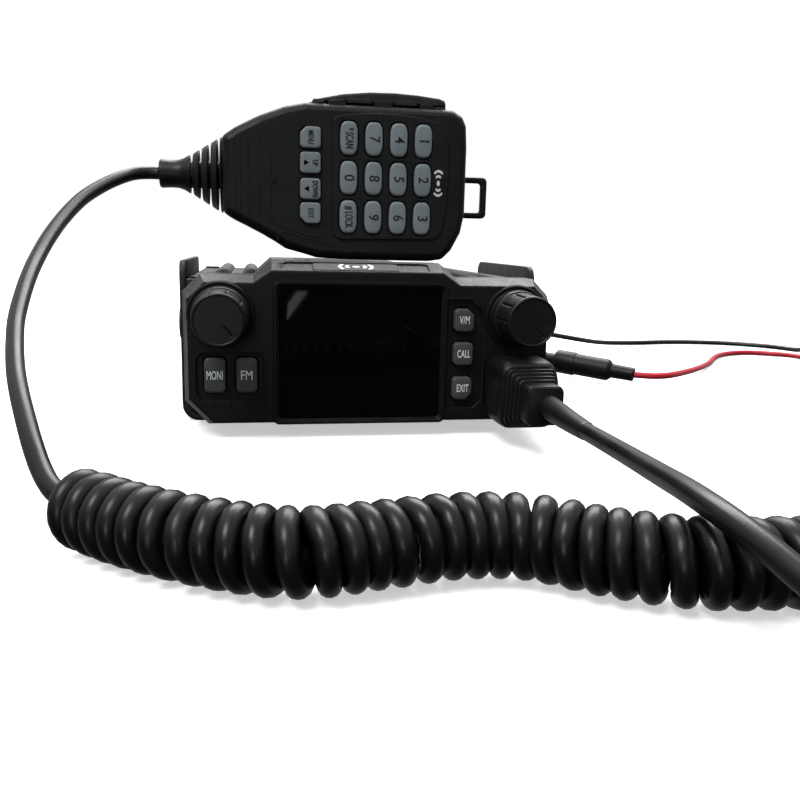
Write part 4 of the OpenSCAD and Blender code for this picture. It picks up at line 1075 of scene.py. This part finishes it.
RED_TERMINAL, BLACK_TERMINAL = ring_terminal("terminal_red", 246), ring_terminal("terminal_black", 256)
FUSE_FROM, FUSE_TO = RED_INNER[-1], RED_OUTER[0]
FUSE_LEN = (FUSE_TO - FUSE_FROM).length / MM
fuse = stand_in("fuse_holder_body", "fuse_holder", lathe_along(FUSE_FROM, FUSE_TO, [
    (0.1, 1.6), (0.1, 2.3), (0.5, 2.7), (4.7, 2.7), (5.0, 3.0), (5.2, 4.1), (5.7, 4.5), (12.6, 4.5),
    (13.0, 4.2), (13.4, 4.1), (16.0, 4.1), (25.6, 4.1), (26.3, 3.7), (27.2, 2.8), (27.6, 2.7),
    (FUSE_LEN - 0.6, 2.6), (FUSE_LEN - 0.2, 2.4), (FUSE_LEN - 0.1, 1.4)]), SOFT, angle=50)
# the last points of each free stretch give way to one that leads straight into its coil
wire("black_wire", wire_path(BLACK_ROUTE[:-3] + route("239.4,97,4.2"), BLACK_COIL, BLACK_END), BLACK_WIRE,
     ("wire_black", "lead_coil"))
wire("red_wire_inner", wire_path(RED_INNER), RED_WIRE, ("wire_red_inner",))
wire("red_wire_outer", wire_path(RED_OUTER[:-2] + route("229,80,1.4"), RED_COIL, RED_END), RED_WIRE,
     ("wire_red_outer", "lead_coil"))

# ---------------------------------------------------------------- room


def glowing(name, color, glow, strength, rough=0.5, spec=0.5):
    mat, _, bsdf = nodes_of(name)
    for socket, value in (("Base Color", (*color, 1)), ("Roughness", rough), ("Specular IOR Level", spec),
                          ("Emission Color", (*glow, 1)), ("Emission Strength", strength)):
        bsdf.inputs[socket].default_value = value
    return mat


def room():
    bm = bmesh.new()
    bmesh.ops.create_grid(bm, x_segments=8, y_segments=8, size=4)
    floor = piece("floor", bm, glowing("floor", (0.92,) * 3, (1, 1, 1), 0.5, 0.7, 0.1), smooth=False)
    floor.location = (0, 0, -0.02 * MM)
    # the light it would throw back is the world's lower half, which stays dim
    floor.visible_diffuse = floor.visible_glossy = False


def card():
    """A small white card in front of the radio, seen only as a reflection in the display's corner."""
    on_glass = [(-22.5, 35.3), (-20.2, 38.5), (-17.4, 38.5), (-22.8, 31)]
    away = 150
    # the eye mirrored in the display's plane looks through these corners of the glass
    eye = EYE / MM
    reach = 1 + away / (GLASS_FRONT - eye.y)
    bm = bmesh.new()
    bm.faces.new([bm.verts.new(Vector((eye.x + (x - eye.x) * reach, GLASS_FRONT - away,
                                       eye.z + (z - eye.z) * reach)) * MM) for x, z in on_glass])
    obj = piece("card", bm, glowing("card", (0.8,) * 3, (0.9, 0.97, 1), 3.2), smooth=False)
    obj.visible_camera = obj.visible_diffuse = obj.visible_shadow = False


def area(name, at, target, size, power):
    data = bpy.data.lights.new(name, "AREA")
    data.shape, data.size, data.size_y = "RECTANGLE", size[0], size[1]
    data.energy = power
    lamp = bpy.data.objects.new(name, data)
    lamp.location = at
    lamp.rotation_euler = (Vector(target) - Vector(at)).to_track_quat("-Z", "Y").to_euler()
    bpy.context.scene.collection.objects.link(lamp)


def sky():
    """A white cove to look at, which lights the object from above and a little from behind."""
    world = bpy.data.worlds.new("cove")
    bpy.context.scene.world = world
    world.use_nodes = True
    tree = world.node_tree
    back = tree.nodes["Background"]
    split = add(tree, "ShaderNodeSeparateXYZ")
    tree.links.new(add(tree, "ShaderNodeTexCoord").outputs["Generated"], split.inputs[0])
    above = ramp(tree, split.outputs["Z"], 0.0, 0.9, 0.05, 0.85)
    behind = ramp(tree, split.outputs["Y"], -0.2, 0.9, 0.0, 0.35)
    total = add(tree, "ShaderNodeMath", operation="ADD")
    tree.links.new(above, total.inputs[0])
    tree.links.new(behind, total.inputs[1])
    seen = add(tree, "ShaderNodeMath", operation="MAXIMUM")
    tree.links.new(add(tree, "ShaderNodeLightPath").outputs["Is Camera Ray"], seen.inputs[0])
    tree.links.new(total.outputs[0], seen.inputs[1])
    tree.links.new(seen.outputs[0], back.inputs["Strength"])
    back.inputs["Color"].default_value = (1, 1, 1, 1)


bpy.context.scene.view_settings.view_transform = "Standard"
room()
card()
sky()
area("key", (-0.4, -0.5, 0.85), (0, 0, 0.03), (0.4, 0.4), 6.5)
area("left_fill", (-0.17, -0.62, 0.08), (-0.02, -0.05, 0.03), (0.15, 0.15), 0.3)
area("back", (0.2, 0.6, 0.8), (0, 0, 0.03), (0.9, 0.5), 13)
